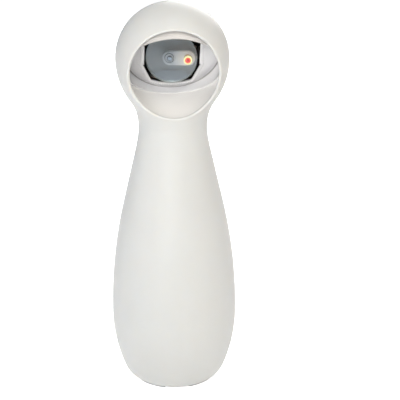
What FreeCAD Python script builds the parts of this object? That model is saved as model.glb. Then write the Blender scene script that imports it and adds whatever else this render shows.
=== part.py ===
"""Automatic cat laser toy: a pin-shaped housing with a mirror that throws a laser dot on the floor.

Millimetres, +Z up, front towards -Y. The origin is the middle of the base, on the floor.
The round head has a large opening in front. A motor turns a slightly skewed mirror behind it
through a worm and a gear, and the mirror's carriage tilts on two side pins. Four AA cells stand
in the base behind a twist door.
"""
import math
import os
from types import SimpleNamespace

import FreeCAD
import Part
import Sketcher
from FreeCAD import Placement, Rotation, Vector

doc = FreeCAD.newDocument("CatLaserToy")
AXIS_X = Vector(1, 0, 0)
AXIS_Y = Vector(0, 1, 0)
AXIS_Z = Vector(0, 0, 1)
TO_BACK = Rotation(AXIS_X, -90)
TO_FRONT = Rotation(AXIS_X, 90)
TO_RIGHT = Rotation(AXIS_Y, 90)
SIDES = {"left": -1, "right": 1}


# ---------------------------------------------------------------- sizes
class Length(float):
    """A number that remembers the sheet formula it comes from."""

    def __new__(cls, number, formula):
        item = float.__new__(cls, number)
        item.formula = formula
        return item

    def __add__(self, other):
        return Length(float(self) + float(other), f"({self.formula} + {text(other)})")

    def __radd__(self, other):
        return Length(float(other) + float(self), f"({text(other)} + {self.formula})")

    def __sub__(self, other):
        return Length(float(self) - float(other), f"({self.formula} - {text(other)})")

    def __rsub__(self, other):
        return Length(float(other) - float(self), f"({text(other)} - {self.formula})")

    def __mul__(self, other):
        return Length(float(self) * float(other), f"({self.formula} * {text(other)})")

    def __rmul__(self, other):
        return self * other

    def __truediv__(self, other):
        return Length(float(self) / float(other), f"({self.formula} / {text(other)})")

    def __neg__(self):
        return Length(-float(self), f"(0 - {self.formula})")


def text(amount):
    """The formula of a Length, or a plain number as text."""
    return amount.formula if isinstance(amount, Length) else repr(float(amount))


def make_sheet(name, cells):
    """A spreadsheet with one aliased cell for each entry, and a Length for each alias."""
    sheet = doc.addObject("Spreadsheet::Sheet", name)
    for row, (alias, amount) in enumerate(cells.items(), start=1):
        sheet.set(f"A{row}", alias.replace("_", " "))
        sheet.set(f"B{row}", "=" + amount.formula if isinstance(amount, Length) else text(amount))
        sheet.setAlias(f"B{row}", alias)
    doc.recompute()
    return SimpleNamespace(**{a: Length(n, f"{name}.{a}") for a, n in cells.items()})


SIZES = {
    # outline of the housing
    "total_height": 229.0,
    "head_radius": 32.75,
    "cheek_radius": 41.0,
    "neck_radius": 20.03,
    "neck_drop": 38.78,
    "neck_sweep": 56.73,
    "flank_fullness": 0.91,
    "widest_radius": 37.37,
    "widest_height": 42.41,
    "lower_side_radius": 95.28,
    "base_corner_radius": 15.17,
    "base_corner_angle": 28.0,
    "shell_wall": 2.2,
    # joint between the shells
    "lip_thickness": 1.0,
    "lip_depth": 1.5,
    "lip_clearance": 0.15,
    "boss_sink": 0.6,
    "boss_gap": 0.1,
    "shell_boss_radius": 3.9,
    "front_boss_step": 0.4,
    "shell_boss_inset": 9.44,
    "shell_boss_height": 66.0,
    "neck_boss_gap": 1.3,
    "screw_seat": 8.0,
    "shell_screw_reach": 16.0,
    "shell_screw_radius": 1.4,
    "shell_screw_head": 2.7,
    "shell_screw_head_depth": 1.9,
    "small_screw_radius": 0.9,
    "small_screw_head": 1.7,
    "small_screw_head_depth": 1.2,
    "head_clearance": 0.25,
    "screw_clearance": 0.2,
    "pilot_spare": 0.5,
    # opening and inner bowl
    "opening_radius": 25.0,
    "opening_drop": 5.45,
    "opening_reach": 8.0,
    "opening_round": 0.9,
    "bowl_radius": 29.0,
    "bowl_wall": 1.2,
    "bowl_setback": 14.7,
    "bowl_top_rise": 10.25,
    "bowl_clearance": 0.15,
    # face plate that carries the mirror
    "bezel_distance": 3.4,
    "bezel_lean": 34.35,
    "bezel_thickness": 2.0,
    "bezel_radius": 30.0,
    "bezel_rim_radius": 28.2,
    "rim_turn": 18.25,
    "rim_distance": 9.5,
    "rim_top": 12.4,
    "rim_groove_radius": 27.2,
    "rim_groove_width": 0.9,
    "rim_groove_depth": 0.9,
    "window_half_width": 16.0,
    "window_top": 7.2,
    "window_top_rise": 5.1,
    "window_step": -8.0,
    "window_step_out": 0.8,
    "window_foot": -20.8,
    "window_foot_half_width": 11.9,
    "window_foot_drop": 2.8,
    "window_frame_width": 2.0,
    "window_frame_height": 0.6,
    "plate_margin": 0.1,
    "plate_top": 16.5,
    "plate_crown": 18.4,
    "plate_crown_radius": 19.0,
    "bezel_boss_spread": 20.7,
    "bezel_boss_rise": 12.95,
    "bezel_boss_radius": 2.1,
    "bezel_pad_height": 4.4,
    "pad_margin": 0.4,
    "bezel_screw_reach": 9.0,
    # mirror and its hub
    "mirror_radius": 15.2,
    "mirror_thickness": 2.0,
    "mirror_bevel": 0.3,
    "mirror_y": 9.0,
    "mirror_drop": 0.95,
    "hub_lean": 26.0,
    "mirror_skew_angle": 4.0,
    "holder_radius": 12.2,
    "holder_back": 5.0,
    "hub_radius": 1.5,
    "hub_reach": 12.4,
    "running_fit": 0.06,
    # carriage
    "pivot_y": 12.0,
    "pivot_rise": 1.25,
    "pivot_radius": 1.2,
    "arm_inside": 15.9,
    "arm_thickness": 1.5,
    "arm_half_width": 3.0,
    "lug_gap": 0.3,
    "lug_thickness": 2.0,
    "cradle_front": 5.8,
    "cradle_thickness": 1.4,
    "cradle_radius": 10.0,
    # motor, worm and gear
    "motor_radius": 3.5,
    "motor_flat": 2.9,
    "motor_side": 5.4,
    "motor_length": 8.6,
    "motor_cap_radius": 2.6,
    "motor_cap_length": 0.9,
    "tag_half_width": 0.6,
    "tag_thickness": 0.3,
    "tag_reach": 0.6,
    "tag_spread": 1.65,
    "gear_pitch_radius": 5.0,
    "gear_tip_radius": 5.5,
    "gear_root_radius": 4.35,
    "gear_width": 2.6,
    "tooth_tip_half": 0.26,
    "tooth_root_half": 0.46,
    "tooth_root_sink": 0.2,
    "worm_pitch_radius": 1.6,
    "worm_tip_radius": 1.9,
    "worm_root_radius": 1.0,
    "worm_tip_half": 0.2,
    "worm_root_half": 0.36,
    "worm_shaft_radius": 0.6,
    "worm_shaft_reach": 0.9,
    "gear_gap": 0.3,
    "case_round_radius": 6.8,
    "case_left": 6.4,
    "case_top": 9.8,
    "case_front_wall": 1.3,
    "case_ear_radius": 2.0,
    "left_ear_x": -7.3,
    "left_ear_z": 4.6,
    "right_ear_x": 5.5,
    "right_ear_z": -5.5,
    "case_screw_grip": 1.0,
    "hub_pocket_depth": 0.9,
    "strap_thickness": 0.9,
    "strap_half_width": 1.8,
    "strap_reach": 6.4,
    # laser
    "laser_x": 11.1,
    "laser_y": -8.3,
    "laser_rise": 15.15,
    "laser_target_x": 9.0,
    "laser_target_y": 3.75,
    "laser_target_drop": 10.05,
    "barrel_radius": 2.6,
    "barrel_length": 9.6,
    "lens_radius": 1.7,
    "lens_depth": 1.0,
    "lens_recess": 0.4,
    "lens_curve": 3.0,
    "lens_setback": 0.1,
    "clamp_offset": 11.0,
    "clamp_half_width": 4.3,
    "clamp_front": 4.5,
    "clamp_thickness": 3.0,
    "clamp_ring_margin": 1.2,
    "clamp_ring_height": 0.9,
    "clamp_screw_grip": 4.5,
    "laser_boss_radius": 3.2,
    # batteries and door
    "cell_radius": 7.25,
    "cell_length": 49.2,
    "nub_radius": 2.75,
    "nub_length": 1.3,
    "cell_spacing": 15.0,
    "cell_clearance": 0.3,
    "cell_lift": 0.3,
    "contact_thickness": 0.5,
    "contact_half_width": 4.1,
    "contact_clearance": 0.1,
    "case_wall": 1.3,
    "case_lift": 0.2,
    "case_top_thickness": 1.5,
    "corner_play": 0.01,
    "foot_thickness": 0.8,
    "foot_inner_radius": 21.9,
    "foot_outer_radius": 24.7,
    "foot_span": 56.0,
    "collar_radius": 20.9,
    "collar_clearance": 0.2,
    "flange_radius": 24.0,
    "flange_thickness": 2.0,
    "rib_overlap": 1.3,
    "rib_thickness": 1.5,
    "lip_radius": 18.5,
    "lip_height": 1.5,
    "groove_radius": 20.0,
    "door_clearance": 0.3,
    "door_thickness": 2.7,
    "tab_half_angle": 11.0,
    "tab_slack_angle": 1.5,
    "tab_gap": 0.2,
    "door_turn": 30.0,
    "coin_slot_length": 20.0,
    "coin_slot_width": 2.2,
    "coin_slot_depth": 1.2,
    # control board and button
    "board_half_width": 11.0,
    "board_length": 50.0,
    "board_gap": 6.4,
    "board_front": 10.0,
    "board_thickness": 1.6,
    "board_screw_inset": 4.0,
    "board_screw_grip": 3.5,
    "board_post_radius": 2.6,
    "chip_half_width": 3.0,
    "chip_length": 10.0,
    "chip_depth": 1.5,
    "chip_up_board": 18.0,
    "capacitor_radius": 3.1,
    "capacitor_length": 7.0,
    "capacitor_x": 6.0,
    "capacitor_up_board": 12.0,
    "button_up_board": 27.0,
    "button_radius": 5.5,
    "button_proud": 0.9,
    "button_clearance": 0.3,
    "button_flange": 6.9,
    "button_flange_thickness": 1.3,
    "button_flange_gap": 0.25,
    "button_stem_gap": 1.0,
    "button_travel": 0.8,
    "switch_half_width": 3.0,
    "switch_depth": 3.5,
    "plunger_radius": 1.7,
    "plunger_clearance": 0.15,
    "plunger_hole_depth": 1.5,
}
S = make_sheet("Sizes", SIZES)
TABS = 3
FEET = 4
GEAR_TEETH = 20
WORM_TURNS = 3
FAR = 200.0


# ---------------------------------------------------------------- outline of the housing
def outline_numbers():
    """Centres, radii and tangent angles of the arcs that make up the side view."""
    head_z = float(S.total_height - S.head_radius)
    neck_z = head_z - float(S.neck_drop)
    cheek_x = float(S.head_radius - S.cheek_radius)
    reach = S.neck_radius - cheek_x
    throat = (reach ** 2 + S.neck_drop ** 2 - S.cheek_radius ** 2) / (2 * (S.cheek_radius - reach))
    throat_x = S.neck_radius + throat
    widen = S.widest_radius - S.neck_radius
    fall = neck_z - S.widest_height
    both = S.flank_fullness * (widen ** 2 + fall ** 2) / (2 * widen)
    straight = math.sqrt((both - widen) ** 2 + fall ** 2 - both ** 2)
    corner_z = S.base_corner_radius * math.cos(math.radians(S.base_corner_angle))
    side_x = S.widest_radius - S.lower_side_radius
    rise = S.widest_height - corner_z
    run = math.sqrt((S.lower_side_radius - S.base_corner_radius) ** 2 - rise ** 2)
    return SimpleNamespace(
        head_z=head_z, neck_z=neck_z, cheek_x=cheek_x,
        throat=float(throat), throat_x=float(throat_x),
        throat_angle=math.atan2(S.neck_drop, throat_x - cheek_x),
        sweep_x=float(S.neck_radius + S.neck_sweep), flank=float(both - S.neck_sweep),
        flank_x=float(S.widest_radius - (both - S.neck_sweep)),
        flank_angle=math.atan2(fall, both - widen) - math.atan2(straight, both),
        side_x=float(side_x), side_angle=math.atan2(rise, run),
        corner_x=float(side_x + run), corner_z=float(corner_z))


G = outline_numbers()


def arc(centre_x, centre_z, radius, start, end):
    """An arc in the XZ plane between two angles, in radians."""
    spots = [Vector(centre_x + radius * math.cos(a), 0, centre_z + radius * math.sin(a))
             for a in (start, (start + end) / 2, end)]
    return Part.Arc(*spots).toShape()


def outline_solid(inset):
    """The housing's solid of revolution, with its wall moved inwards by inset."""
    inset = float(inset)
    floor = float(S.foot_thickness) + max(inset, 0.0)
    corner = float(S.base_corner_radius) - inset
    low = math.asin((G.corner_z - floor) / corner)
    pi = math.pi
    edges = [
        arc(0, G.head_z, S.head_radius - inset, pi / 2, 0),
        arc(G.cheek_x, G.head_z, S.cheek_radius - inset, 0, -G.throat_angle),
        arc(G.throat_x, G.neck_z, G.throat + inset, pi - G.throat_angle, pi),
        arc(G.sweep_x, G.neck_z, S.neck_sweep + inset, pi, pi + G.flank_angle),
        None,
        arc(G.flank_x, S.widest_height, G.flank - inset, G.flank_angle, 0),
        arc(G.side_x, S.widest_height, S.lower_side_radius - inset, 0, -G.side_angle),
        arc(G.corner_x, G.corner_z, corner, -G.side_angle, -low),
    ]
    flank_top = edges[3].Vertexes[-1].Point
    flank_foot = edges[5].Vertexes[0].Point
    edges[4] = Part.makeLine(flank_top, flank_foot)
    foot = edges[-1].Vertexes[-1].Point
    edges.append(Part.makeLine(foot, Vector(0, 0, floor)))
    edges.append(Part.makeLine(Vector(0, 0, floor), Vector(0, 0, edges[0].Vertexes[0].Point.z)))
    wire = Part.Wire(Part.__sortEdges__(edges))
    return Part.Face(wire).revolve(Vector(0, 0, 0), AXIS_Z, 360)


def outline_radius(z):
    """The housing's outer radius at a height above its lowest corner."""
    below_head = G.head_z - z
    below_neck = G.neck_z - z
    if below_head <= 0:
        return math.sqrt(S.head_radius ** 2 - below_head ** 2)
    if below_head <= S.cheek_radius * math.sin(G.throat_angle):
        return G.cheek_x + math.sqrt(S.cheek_radius ** 2 - below_head ** 2)
    if below_neck <= 0:
        return G.throat_x - math.sqrt(G.throat ** 2 - below_neck ** 2)
    sweep_drop = S.neck_sweep * math.sin(G.flank_angle)
    if below_neck <= sweep_drop:
        return G.sweep_x - math.sqrt(S.neck_sweep ** 2 - below_neck ** 2)
    flank_top = S.widest_height + G.flank * math.sin(G.flank_angle)
    if z >= flank_top:
        share = (z - flank_top) / (G.neck_z - sweep_drop - flank_top)
        wide = G.flank_x + G.flank * math.cos(G.flank_angle)
        narrow = G.sweep_x - S.neck_sweep * math.cos(G.flank_angle)
        return wide + share * (narrow - wide)
    if z >= S.widest_height:
        return G.flank_x + math.sqrt(G.flank ** 2 - (z - S.widest_height) ** 2)
    return G.side_x + math.sqrt(S.lower_side_radius ** 2 - (z - S.widest_height) ** 2)


# ---------------------------------------------------------------- places worked out from the sizes
def lean_frame(y, z, lean):
    """A point of the YZ plane in a frame turned about X by lean degrees, as (along, up)."""
    turn = math.radians(lean)
    return (y * math.cos(turn) + z * math.sin(turn), -y * math.sin(turn) + z * math.cos(turn))


head_height = S.total_height - S.head_radius
neck_boss_height = (head_height - S.opening_drop - S.bowl_radius - S.bowl_wall
                    - S.neck_boss_gap - S.shell_boss_radius)
board_high = neck_boss_height - S.board_gap
board_low = board_high - S.board_length
pivot_along, pivot_up = lean_frame(S.pivot_y - S.mirror_y, S.pivot_rise + S.mirror_drop, -S.hub_lean)
lug_along, lug_up = lean_frame(S.pivot_y, S.pivot_rise, S.bezel_lean)
ball_along, ball_up = lean_frame(-S.mirror_y, S.mirror_drop, -S.hub_lean)
bezel_drop = S.bezel_boss_rise * math.sin(math.radians(S.bezel_lean))
opening_edge_y = -math.sqrt(S.head_radius ** 2 - S.opening_radius ** 2)
P = make_sheet("Places", {
    "head_height": head_height,
    "neck_boss_height": neck_boss_height,
    "shell_boss_spread": outline_radius(S.shell_boss_height) - float(S.shell_boss_inset),
    "opening_height": head_height - S.opening_drop,
    "bowl_centre_y": opening_edge_y + float(S.bowl_setback),
    "bowl_top": head_height + S.bowl_top_rise,
    "bezel_boss_height": head_height + S.bezel_boss_rise,
    "bezel_face_y": (S.bezel_distance - bezel_drop) / math.cos(math.radians(S.bezel_lean)),
    "mirror_height": head_height - S.mirror_drop,
    "laser_height": head_height + S.laser_rise,
    "board_high": board_high,
    "board_low": board_low,
    "button_height": board_low + S.button_up_board,
    "pivot_along": float(pivot_along),
    "pivot_up": float(pivot_up),
    "lug_along": float(lug_along),
    "lug_up": float(lug_up),
    "ball_along": float(ball_along),
    "ball_up": float(ball_up),
    "gear_pitch": 2 * math.pi * S.gear_pitch_radius / GEAR_TEETH,
})
BEZEL_TURN = Rotation(AXIS_X, float(S.bezel_lean))
BEZEL_PLACE = Placement(Vector(0, 0, G.head_z), BEZEL_TURN)
CARRIAGE_TURN = Rotation(AXIS_X, -float(S.hub_lean))
CARRIAGE_AT = (0, S.mirror_y, P.mirror_height)
CARRIAGE_PLACE = Placement(Vector(*[float(a) for a in CARRIAGE_AT]), CARRIAGE_TURN)
MIRROR_TURN = Rotation(AXIS_X, -float(S.hub_lean + S.mirror_skew_angle))
LASER_AT = (S.laser_x, S.laser_y, P.laser_height)
LASER_TURN = Rotation(AXIS_Z, Vector(float(S.laser_x - S.laser_target_x),
                                     float(S.laser_y - S.laser_target_y),
                                     float(S.laser_rise + S.laser_target_drop)))
LASER_PLACE = Placement(Vector(*[float(a) for a in LASER_AT]), LASER_TURN)
BOARD_SCREWS = {"low": P.board_low + S.board_screw_inset,
                "high": P.board_high - S.board_screw_inset}
CASE_SCREWS = {"left": (S.left_ear_x, S.left_ear_z), "right": (S.right_ear_x, S.right_ear_z)}


# ---------------------------------------------------------------- small building blocks
def bind(item, prop, amount):
    """Set one property, bound to the sheet when the amount comes from it."""
    if isinstance(amount, Length):
        item.setExpression(prop, amount.formula)
    else:
        setattr(item, prop, float(amount))


def place(item, at=(0, 0, 0), turn=None):
    """Put an object somewhere, its position bound to the sheet."""
    item.Placement = Placement(Vector(*[float(a) for a in at]), turn or Rotation())
    for axis, amount in zip("xyz", at):
        if isinstance(amount, Length):
            item.setExpression(f"Placement.Base.{axis}", amount.formula)
    return item


def box(name, x, y, z, turn=None):
    """A block from three ranges."""
    item = doc.addObject("Part::Box", name)
    for prop, (low, high) in (("Length", x), ("Width", y), ("Height", z)):
        bind(item, prop, high - low)
    return place(item, (x[0], y[0], z[0]), turn)


def cylinder(name, radius, length, at=(0, 0, 0), turn=None):
    """A cylinder that starts at a point and runs up, or along its turned axis."""
    item = doc.addObject("Part::Cylinder", name)
    bind(item, "Radius", radius)
    bind(item, "Height", length)
    return place(item, at, turn)


def sphere(name, radius, at=(0, 0, 0), turn=None):
    """A ball; its turned axis keeps the surface's poles away from the part that is used."""
    item = doc.addObject("Part::Sphere", name)
    bind(item, "Radius", radius)
    return place(item, at, turn)


def feature(name, shape):
    """A document object for a shape made with Part's own functions."""
    item = doc.addObject("Part::Feature", name)
    item.Shape = shape
    return item


def fuse(name, *items):
    """One solid from several that touch."""
    item = doc.addObject("Part::MultiFuse", name)
    item.Shapes = list(items)
    item.Refine = True
    return item


def common(name, *items):
    """What several solids share."""
    item = doc.addObject("Part::MultiCommon", name)
    item.Shapes = list(items)
    return item


def cut(name, base, *tools):
    """A solid with one or more others taken away."""
    item = doc.addObject("Part::Cut", name)
    item.Base = base
    item.Tool = tools[0] if len(tools) == 1 else fuse(name + "_tools", *tools)
    return item


def half_space(name, distance, behind, turn=None):
    """A large block on one side of a plane at a distance along the turned Y axis."""
    turn = turn or Rotation()
    block = box(name, (-FAR, FAR), (0, FAR) if behind else (-FAR, 0), (-FAR, FAR))
    offset = turn.multVec(Vector(-FAR, float(distance) - (0 if behind else FAR), -FAR))
    block.Placement = Placement(offset, turn)
    return block


def rounded(name, base, amount, wanted):
    """Round the edges of a solid that a test picks."""
    doc.recompute()
    item = doc.addObject("Part::Fillet", name)
    item.Base = base
    item.Edges = [(n, float(amount), float(amount))
                  for n, edge in enumerate(base.Shape.Edges, start=1) if wanted(edge)]
    return item


def body(name):
    """An empty PartDesign body."""
    return doc.addObject("PartDesign::Body", name)


def sketch_on(owner, name, role, lift=0.0):
    """A sketch on one of the body's own origin planes, lifted along the plane's normal."""
    plane = next(p for p in owner.Origin.OriginFeatures if p.Role == role)
    item = owner.newObject("Sketcher::SketchObject", name)
    item.AttachmentSupport = (plane, [""])
    item.MapMode = "FlatFace"
    item.AttachmentOffset = Placement(Vector(0, 0, float(lift)), Rotation())
    if isinstance(lift, Length):
        item.setExpression("AttachmentOffset.Base.z", lift.formula)
    return item


def constrain(sketch, kind, *arguments):
    """Add a constraint; a Length as last argument binds it to the sheet."""
    amount = arguments[-1]
    if isinstance(amount, Length):
        arguments = arguments[:-1] + (float(amount),)
    index = sketch.addConstraint(Sketcher.Constraint(kind, *arguments))
    if isinstance(amount, Length):
        sketch.setExpression(f"Constraints[{index}]", amount.formula)


def locate(sketch, edge, end, x, y):
    """Tie one point of a sketch to its place from the sketch's origin."""
    if float(x) == 0.0:
        sketch.addConstraint(Sketcher.Constraint("PointOnObject", edge, end, -2))
    else:
        constrain(sketch, "DistanceX", -1, 1, edge, end, x)
    if float(y) == 0.0:
        sketch.addConstraint(Sketcher.Constraint("PointOnObject", edge, end, -1))
    else:
        constrain(sketch, "DistanceY", -1, 1, edge, end, y)


def draw_circle(sketch, radius, x=0.0, y=0.0):
    """A circle whose radius and centre are tied to the sheet."""
    edge = sketch.addGeometry(Part.Circle(Vector(float(x), float(y), 0), AXIS_Z, float(radius)))
    constrain(sketch, "Radius", edge, radius)
    locate(sketch, edge, 3, x, y)


def draw_polygon(sketch, points):
    """A closed outline of straight edges with each corner tied to its place."""
    count = len(points)
    spots = [Vector(float(x), float(y), 0) for x, y in points]
    first = sketch.GeometryCount
    for number in range(count):
        sketch.addGeometry(Part.LineSegment(spots[number], spots[(number + 1) % count]))
    for number in range(count):
        following = first + (number + 1) % count
        sketch.addConstraint(Sketcher.Constraint("Coincident", first + number, 2, following, 1))
    for number, (x, y) in enumerate(points):
        locate(sketch, first + number, 1, x, y)


def draw_box(sketch, left, right, low, high):
    """A rectangle from its four sides."""
    draw_polygon(sketch, [(left, low), (right, low), (right, high), (left, high)])


def pad(owner, sketch, length):
    """Raise a sketch into a solid."""
    item = owner.newObject("PartDesign::Pad", sketch.Name + "_pad")
    item.Profile = sketch
    bind(item, "Length", length)
    return item


def pocket(owner, sketch, length, downwards=True):
    """Sink a sketch into the body."""
    item = owner.newObject("PartDesign::Pocket", sketch.Name + "_pocket")
    item.Profile = sketch
    bind(item, "Length", length)
    item.Reversed = not downwards
    return item


def revolve(owner, sketch, angle=360.0):
    """Turn a sketch about its own vertical axis."""
    item = owner.newObject("PartDesign::Revolution", sketch.Name + "_turn")
    item.Profile = sketch
    item.ReferenceAxis = (sketch, ["V_Axis"])
    bind(item, "Angle", angle)
    return item


nodes = {}


def keep(name, item, at=None, turn=None):
    """Name an object as one sub-part of the toy, and put it in place."""
    if at is not None or turn is not None:
        place(item, at or (0, 0, 0), turn)
    item.Label = name
    nodes[name] = item
    return item


# ---------------------------------------------------------------- shells
def inside_limit(name):
    """The space that bosses and ribs may fill: up to a little way into the shell's wall."""
    return feature(name, outline_solid(S.shell_wall - S.boss_sink))


def boss(name, x, z, radius, y, y_end):
    """A round post along Y that ends in the shell's wall."""
    rod = cylinder(name + "_rod", radius, y_end - y, (x, y, z), TO_BACK)
    return common(name, rod, inside_limit(name + "_limit"))


def half(name, solid, y):
    """The part of a solid within a range along Y."""
    return common(name, solid, box(name + "_half", (-FAR, FAR), y, (-FAR, 2 * FAR)))


def shell_screw_places():
    """Two screws at the widest part and one in the neck, as (x, z)."""
    return {
        "left": (-P.shell_boss_spread, S.shell_boss_height),
        "right": (P.shell_boss_spread, S.shell_boss_height),
        "neck": (0.0, P.neck_boss_height),
    }


def flange_rib():
    """A ring inside the shells that holds the battery case down by its flange."""
    low = S.foot_thickness + S.shell_wall + S.flange_thickness + S.lug_gap
    ring = cut("rib_ring", cylinder("rib_disc", S.widest_radius, S.rib_thickness, (0, 0, low)),
               cylinder("rib_bore", S.flange_radius - S.rib_overlap, FAR))
    return common("rib", ring, inside_limit("rib_limit"))


def on_opening_edge(edge):
    """True for the outer edges of the round opening, which lie on its bore and on the outside."""
    for share in (0.1, 0.5, 0.9):
        spot = edge.valueAt(edge.FirstParameter + share * (edge.LastParameter - edge.FirstParameter))
        from_axis = math.hypot(spot.x, spot.z - P.opening_height)
        from_middle = math.hypot(spot.x, spot.y)
        if abs(from_axis - S.opening_radius) > 0.001:
            return False
        if abs(from_middle - outline_radius(spot.z)) > 0.01:
            return False
    return True


def front_shell(outer, inner, rib, base_hole):
    """The front half with the round opening, the screw bosses and the seat of the laser clamp."""
    joint = S.lip_depth + S.lip_clearance
    recess_solid = feature("housing_recess",
                           outline_solid(S.shell_wall - S.lip_thickness - S.lip_clearance))
    wall = cut("front_wall", half("front_outer", outer, (-FAR, 0)), inner)
    parts = [cut("front_skin", wall, half("front_recess", recess_solid, (-joint, FAR))),
             half("front_rib", rib, (-FAR, -joint))]
    holes = [base_hole,
             cylinder("opening", S.opening_radius, FAR,
                      (0, -S.opening_reach - FAR, P.opening_height), TO_BACK)]
    for side, (x, z) in shell_screw_places().items():
        parts.append(boss("front_boss_" + side, x, z, S.shell_boss_radius - S.front_boss_step,
                          -FAR, -S.boss_gap))
        pilot = S.shell_screw_reach - S.screw_seat + S.pilot_spare
        holes.append(cylinder("front_pilot_" + side, S.shell_screw_radius, pilot,
                              (x, -pilot, z), TO_BACK))
    for side, sign in SIDES.items():
        x = S.bezel_boss_spread * sign
        post = boss("bezel_boss_" + side, x, P.bezel_boss_height, S.bezel_boss_radius,
                    -FAR, P.bezel_face_y + S.bezel_pad_height)
        behind = half_space("bezel_plane_" + side, S.bezel_distance, True)
        behind.Placement = BEZEL_PLACE.multiply(behind.Placement)
        parts.append(cut("bezel_boss_ended_" + side, post, behind))
        pilot = S.bezel_screw_reach - S.bezel_pad_height + S.pilot_spare
        holes.append(cylinder("bezel_pilot_" + side, S.small_screw_radius, FAR,
                              (x, P.bezel_face_y - pilot, P.bezel_boss_height), TO_BACK))
    parts.append(laser_seat())
    solid = cut("front_holed", fuse("front_parts", *parts), *holes)
    keep("front_shell", rounded("opening_rounded", solid, S.opening_round, on_opening_edge))


def laser_seat():
    """The post inside the top of the head that the laser clamp is screwed to."""
    back = S.clamp_front + S.clamp_thickness
    post = cylinder("laser_boss_rod", S.laser_boss_radius, S.opening_radius,
                    (-S.clamp_offset, 0, back))
    pilot = cylinder("laser_pilot", S.small_screw_radius, S.clamp_screw_grip + S.pilot_spare,
                     (-S.clamp_offset, 0, back))
    bored = cut("laser_boss_bored", post, pilot)
    place(bored, LASER_AT, LASER_TURN)
    return common("laser_boss", bored, inside_limit("laser_boss_limit"))


def rear_shell(outer, inner, rib, base_hole):
    """The rear half with the joint's lip, the screw wells, the board posts and the button hole."""
    lip_solid = feature("housing_lip", outline_solid(S.shell_wall - S.lip_thickness))
    wall = cut("rear_wall", half("rear_outer", outer, (0, FAR)), inner)
    lip = cut("rear_lip", half("rear_lip_band", lip_solid, (-S.lip_depth, 0)), inner)
    parts = [wall, lip, half("rear_rib", rib, (0, FAR))]
    holes = [base_hole]
    for side, (x, z) in shell_screw_places().items():
        parts.append(boss("rear_boss_" + side, x, z, S.shell_boss_radius, S.boss_gap, FAR))
        holes.append(cylinder("rear_hole_" + side, S.shell_screw_radius + S.screw_clearance, FAR,
                              (x, -S.boss_gap, z), TO_BACK))
        holes.append(cylinder("rear_well_" + side, S.shell_screw_head + S.head_clearance, FAR,
                              (x, S.screw_seat, z), TO_BACK))
    board_back = S.board_front + S.board_thickness
    for end, z in BOARD_SCREWS.items():
        parts.append(boss("board_post_" + end, 0.0, z, S.board_post_radius, board_back, FAR))
        holes.append(cylinder("board_pilot_" + end, S.small_screw_radius,
                              S.board_screw_grip + S.pilot_spare, (0, board_back, z), TO_BACK))
    holes.append(cylinder("button_hole", S.button_radius + S.button_clearance, FAR,
                          (0, S.board_front, P.button_height), TO_BACK))
    keep("rear_shell", cut("rear_holed", fuse("rear_parts", *parts), *holes))


def shells():
    """Two moulded half shells that meet in the plane of the two sides."""
    outer = feature("housing_outside", outline_solid(0.0))
    inner = feature("housing_inside", outline_solid(S.shell_wall))
    rib = flange_rib()
    base_hole = cylinder("base_hole", S.collar_radius + S.collar_clearance,
                         S.shell_wall + S.foot_thickness + S.rib_thickness)
    front_shell(outer, inner, rib, base_hole)
    rear_shell(outer, inner, rib, base_hole)
    for side, (x, z) in shell_screw_places().items():
        screw("shell_screw_" + side, S.shell_screw_radius, S.shell_screw_head,
              S.shell_screw_head_depth, S.shell_screw_reach, (x, S.screw_seat, z), TO_BACK)


# ---------------------------------------------------------------- screws
HEAD_SHOULDER = 0.6
HEAD_CROWN = 0.7
CROSS_ARM = 0.55
CROSS_WIDTH = 0.13
CROSS_DEPTH = 0.5


def screw(name, radius, head, head_depth, reach, at, turn):
    """A round-headed screw with a cross recess; its shank runs down from its seat."""
    owner = body(name + "_body")
    profile = sketch_on(owner, name + "_profile", "XZ_Plane")
    draw_polygon(profile, [(0.0, -reach), (radius, -reach), (radius, 0.0), (head, 0.0),
                           (head, head_depth * HEAD_SHOULDER), (head * HEAD_CROWN, head_depth),
                           (0.0, head_depth)])
    revolve(owner, profile)
    cross = sketch_on(owner, name + "_cross", "XY_Plane", head_depth)
    arm = head * CROSS_ARM
    width = head * CROSS_WIDTH
    draw_polygon(cross, [(-arm, -width), (-width, -width), (-width, -arm), (width, -arm),
                         (width, -width), (arm, -width), (arm, width), (width, width),
                         (width, arm), (-width, arm), (-width, width), (-arm, width)])
    pocket(owner, cross, head_depth * CROSS_DEPTH)
    return keep(name, owner, at, turn)


def small_screw(name, reach, at, turn):
    """One of the small screws of the inside."""
    return screw(name, S.small_screw_radius, S.small_screw_head, S.small_screw_head_depth,
                 reach, at, turn)


# ---------------------------------------------------------------- head inside
def inner_bowl():
    """The glossy bowl between the opening and the face plate's ring, a part of a hollow ball."""
    rise = -S.opening_drop
    centre = (0, P.bowl_centre_y, rise)
    skin = cut("bowl_skin", sphere("bowl_outside", S.bowl_radius + S.bowl_wall, centre),
               sphere("bowl_inside", S.bowl_radius, centre))
    rim_plane = BEZEL_TURN.multiply(Rotation(AXIS_X, float(S.rim_turn)))
    front = half_space("bowl_front", -S.rim_distance, False, rim_plane)
    below = box("bowl_below", (-FAR, FAR), (-FAR, FAR), (-FAR, S.bowl_top_rise))
    room = feature("bowl_room", outline_solid(S.shell_wall + S.bowl_clearance))
    room.Placement = Placement(Vector(0, 0, -G.head_z), Rotation())
    hole = cylinder("bowl_hole", S.opening_radius, FAR, (0, P.bowl_centre_y - FAR, rise), TO_BACK)
    shape = cut("bowl_holed", common("bowl_zone", skin, front, below, room), hole)
    keep("inner_bowl", shape, (0, 0, P.head_height))


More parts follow.
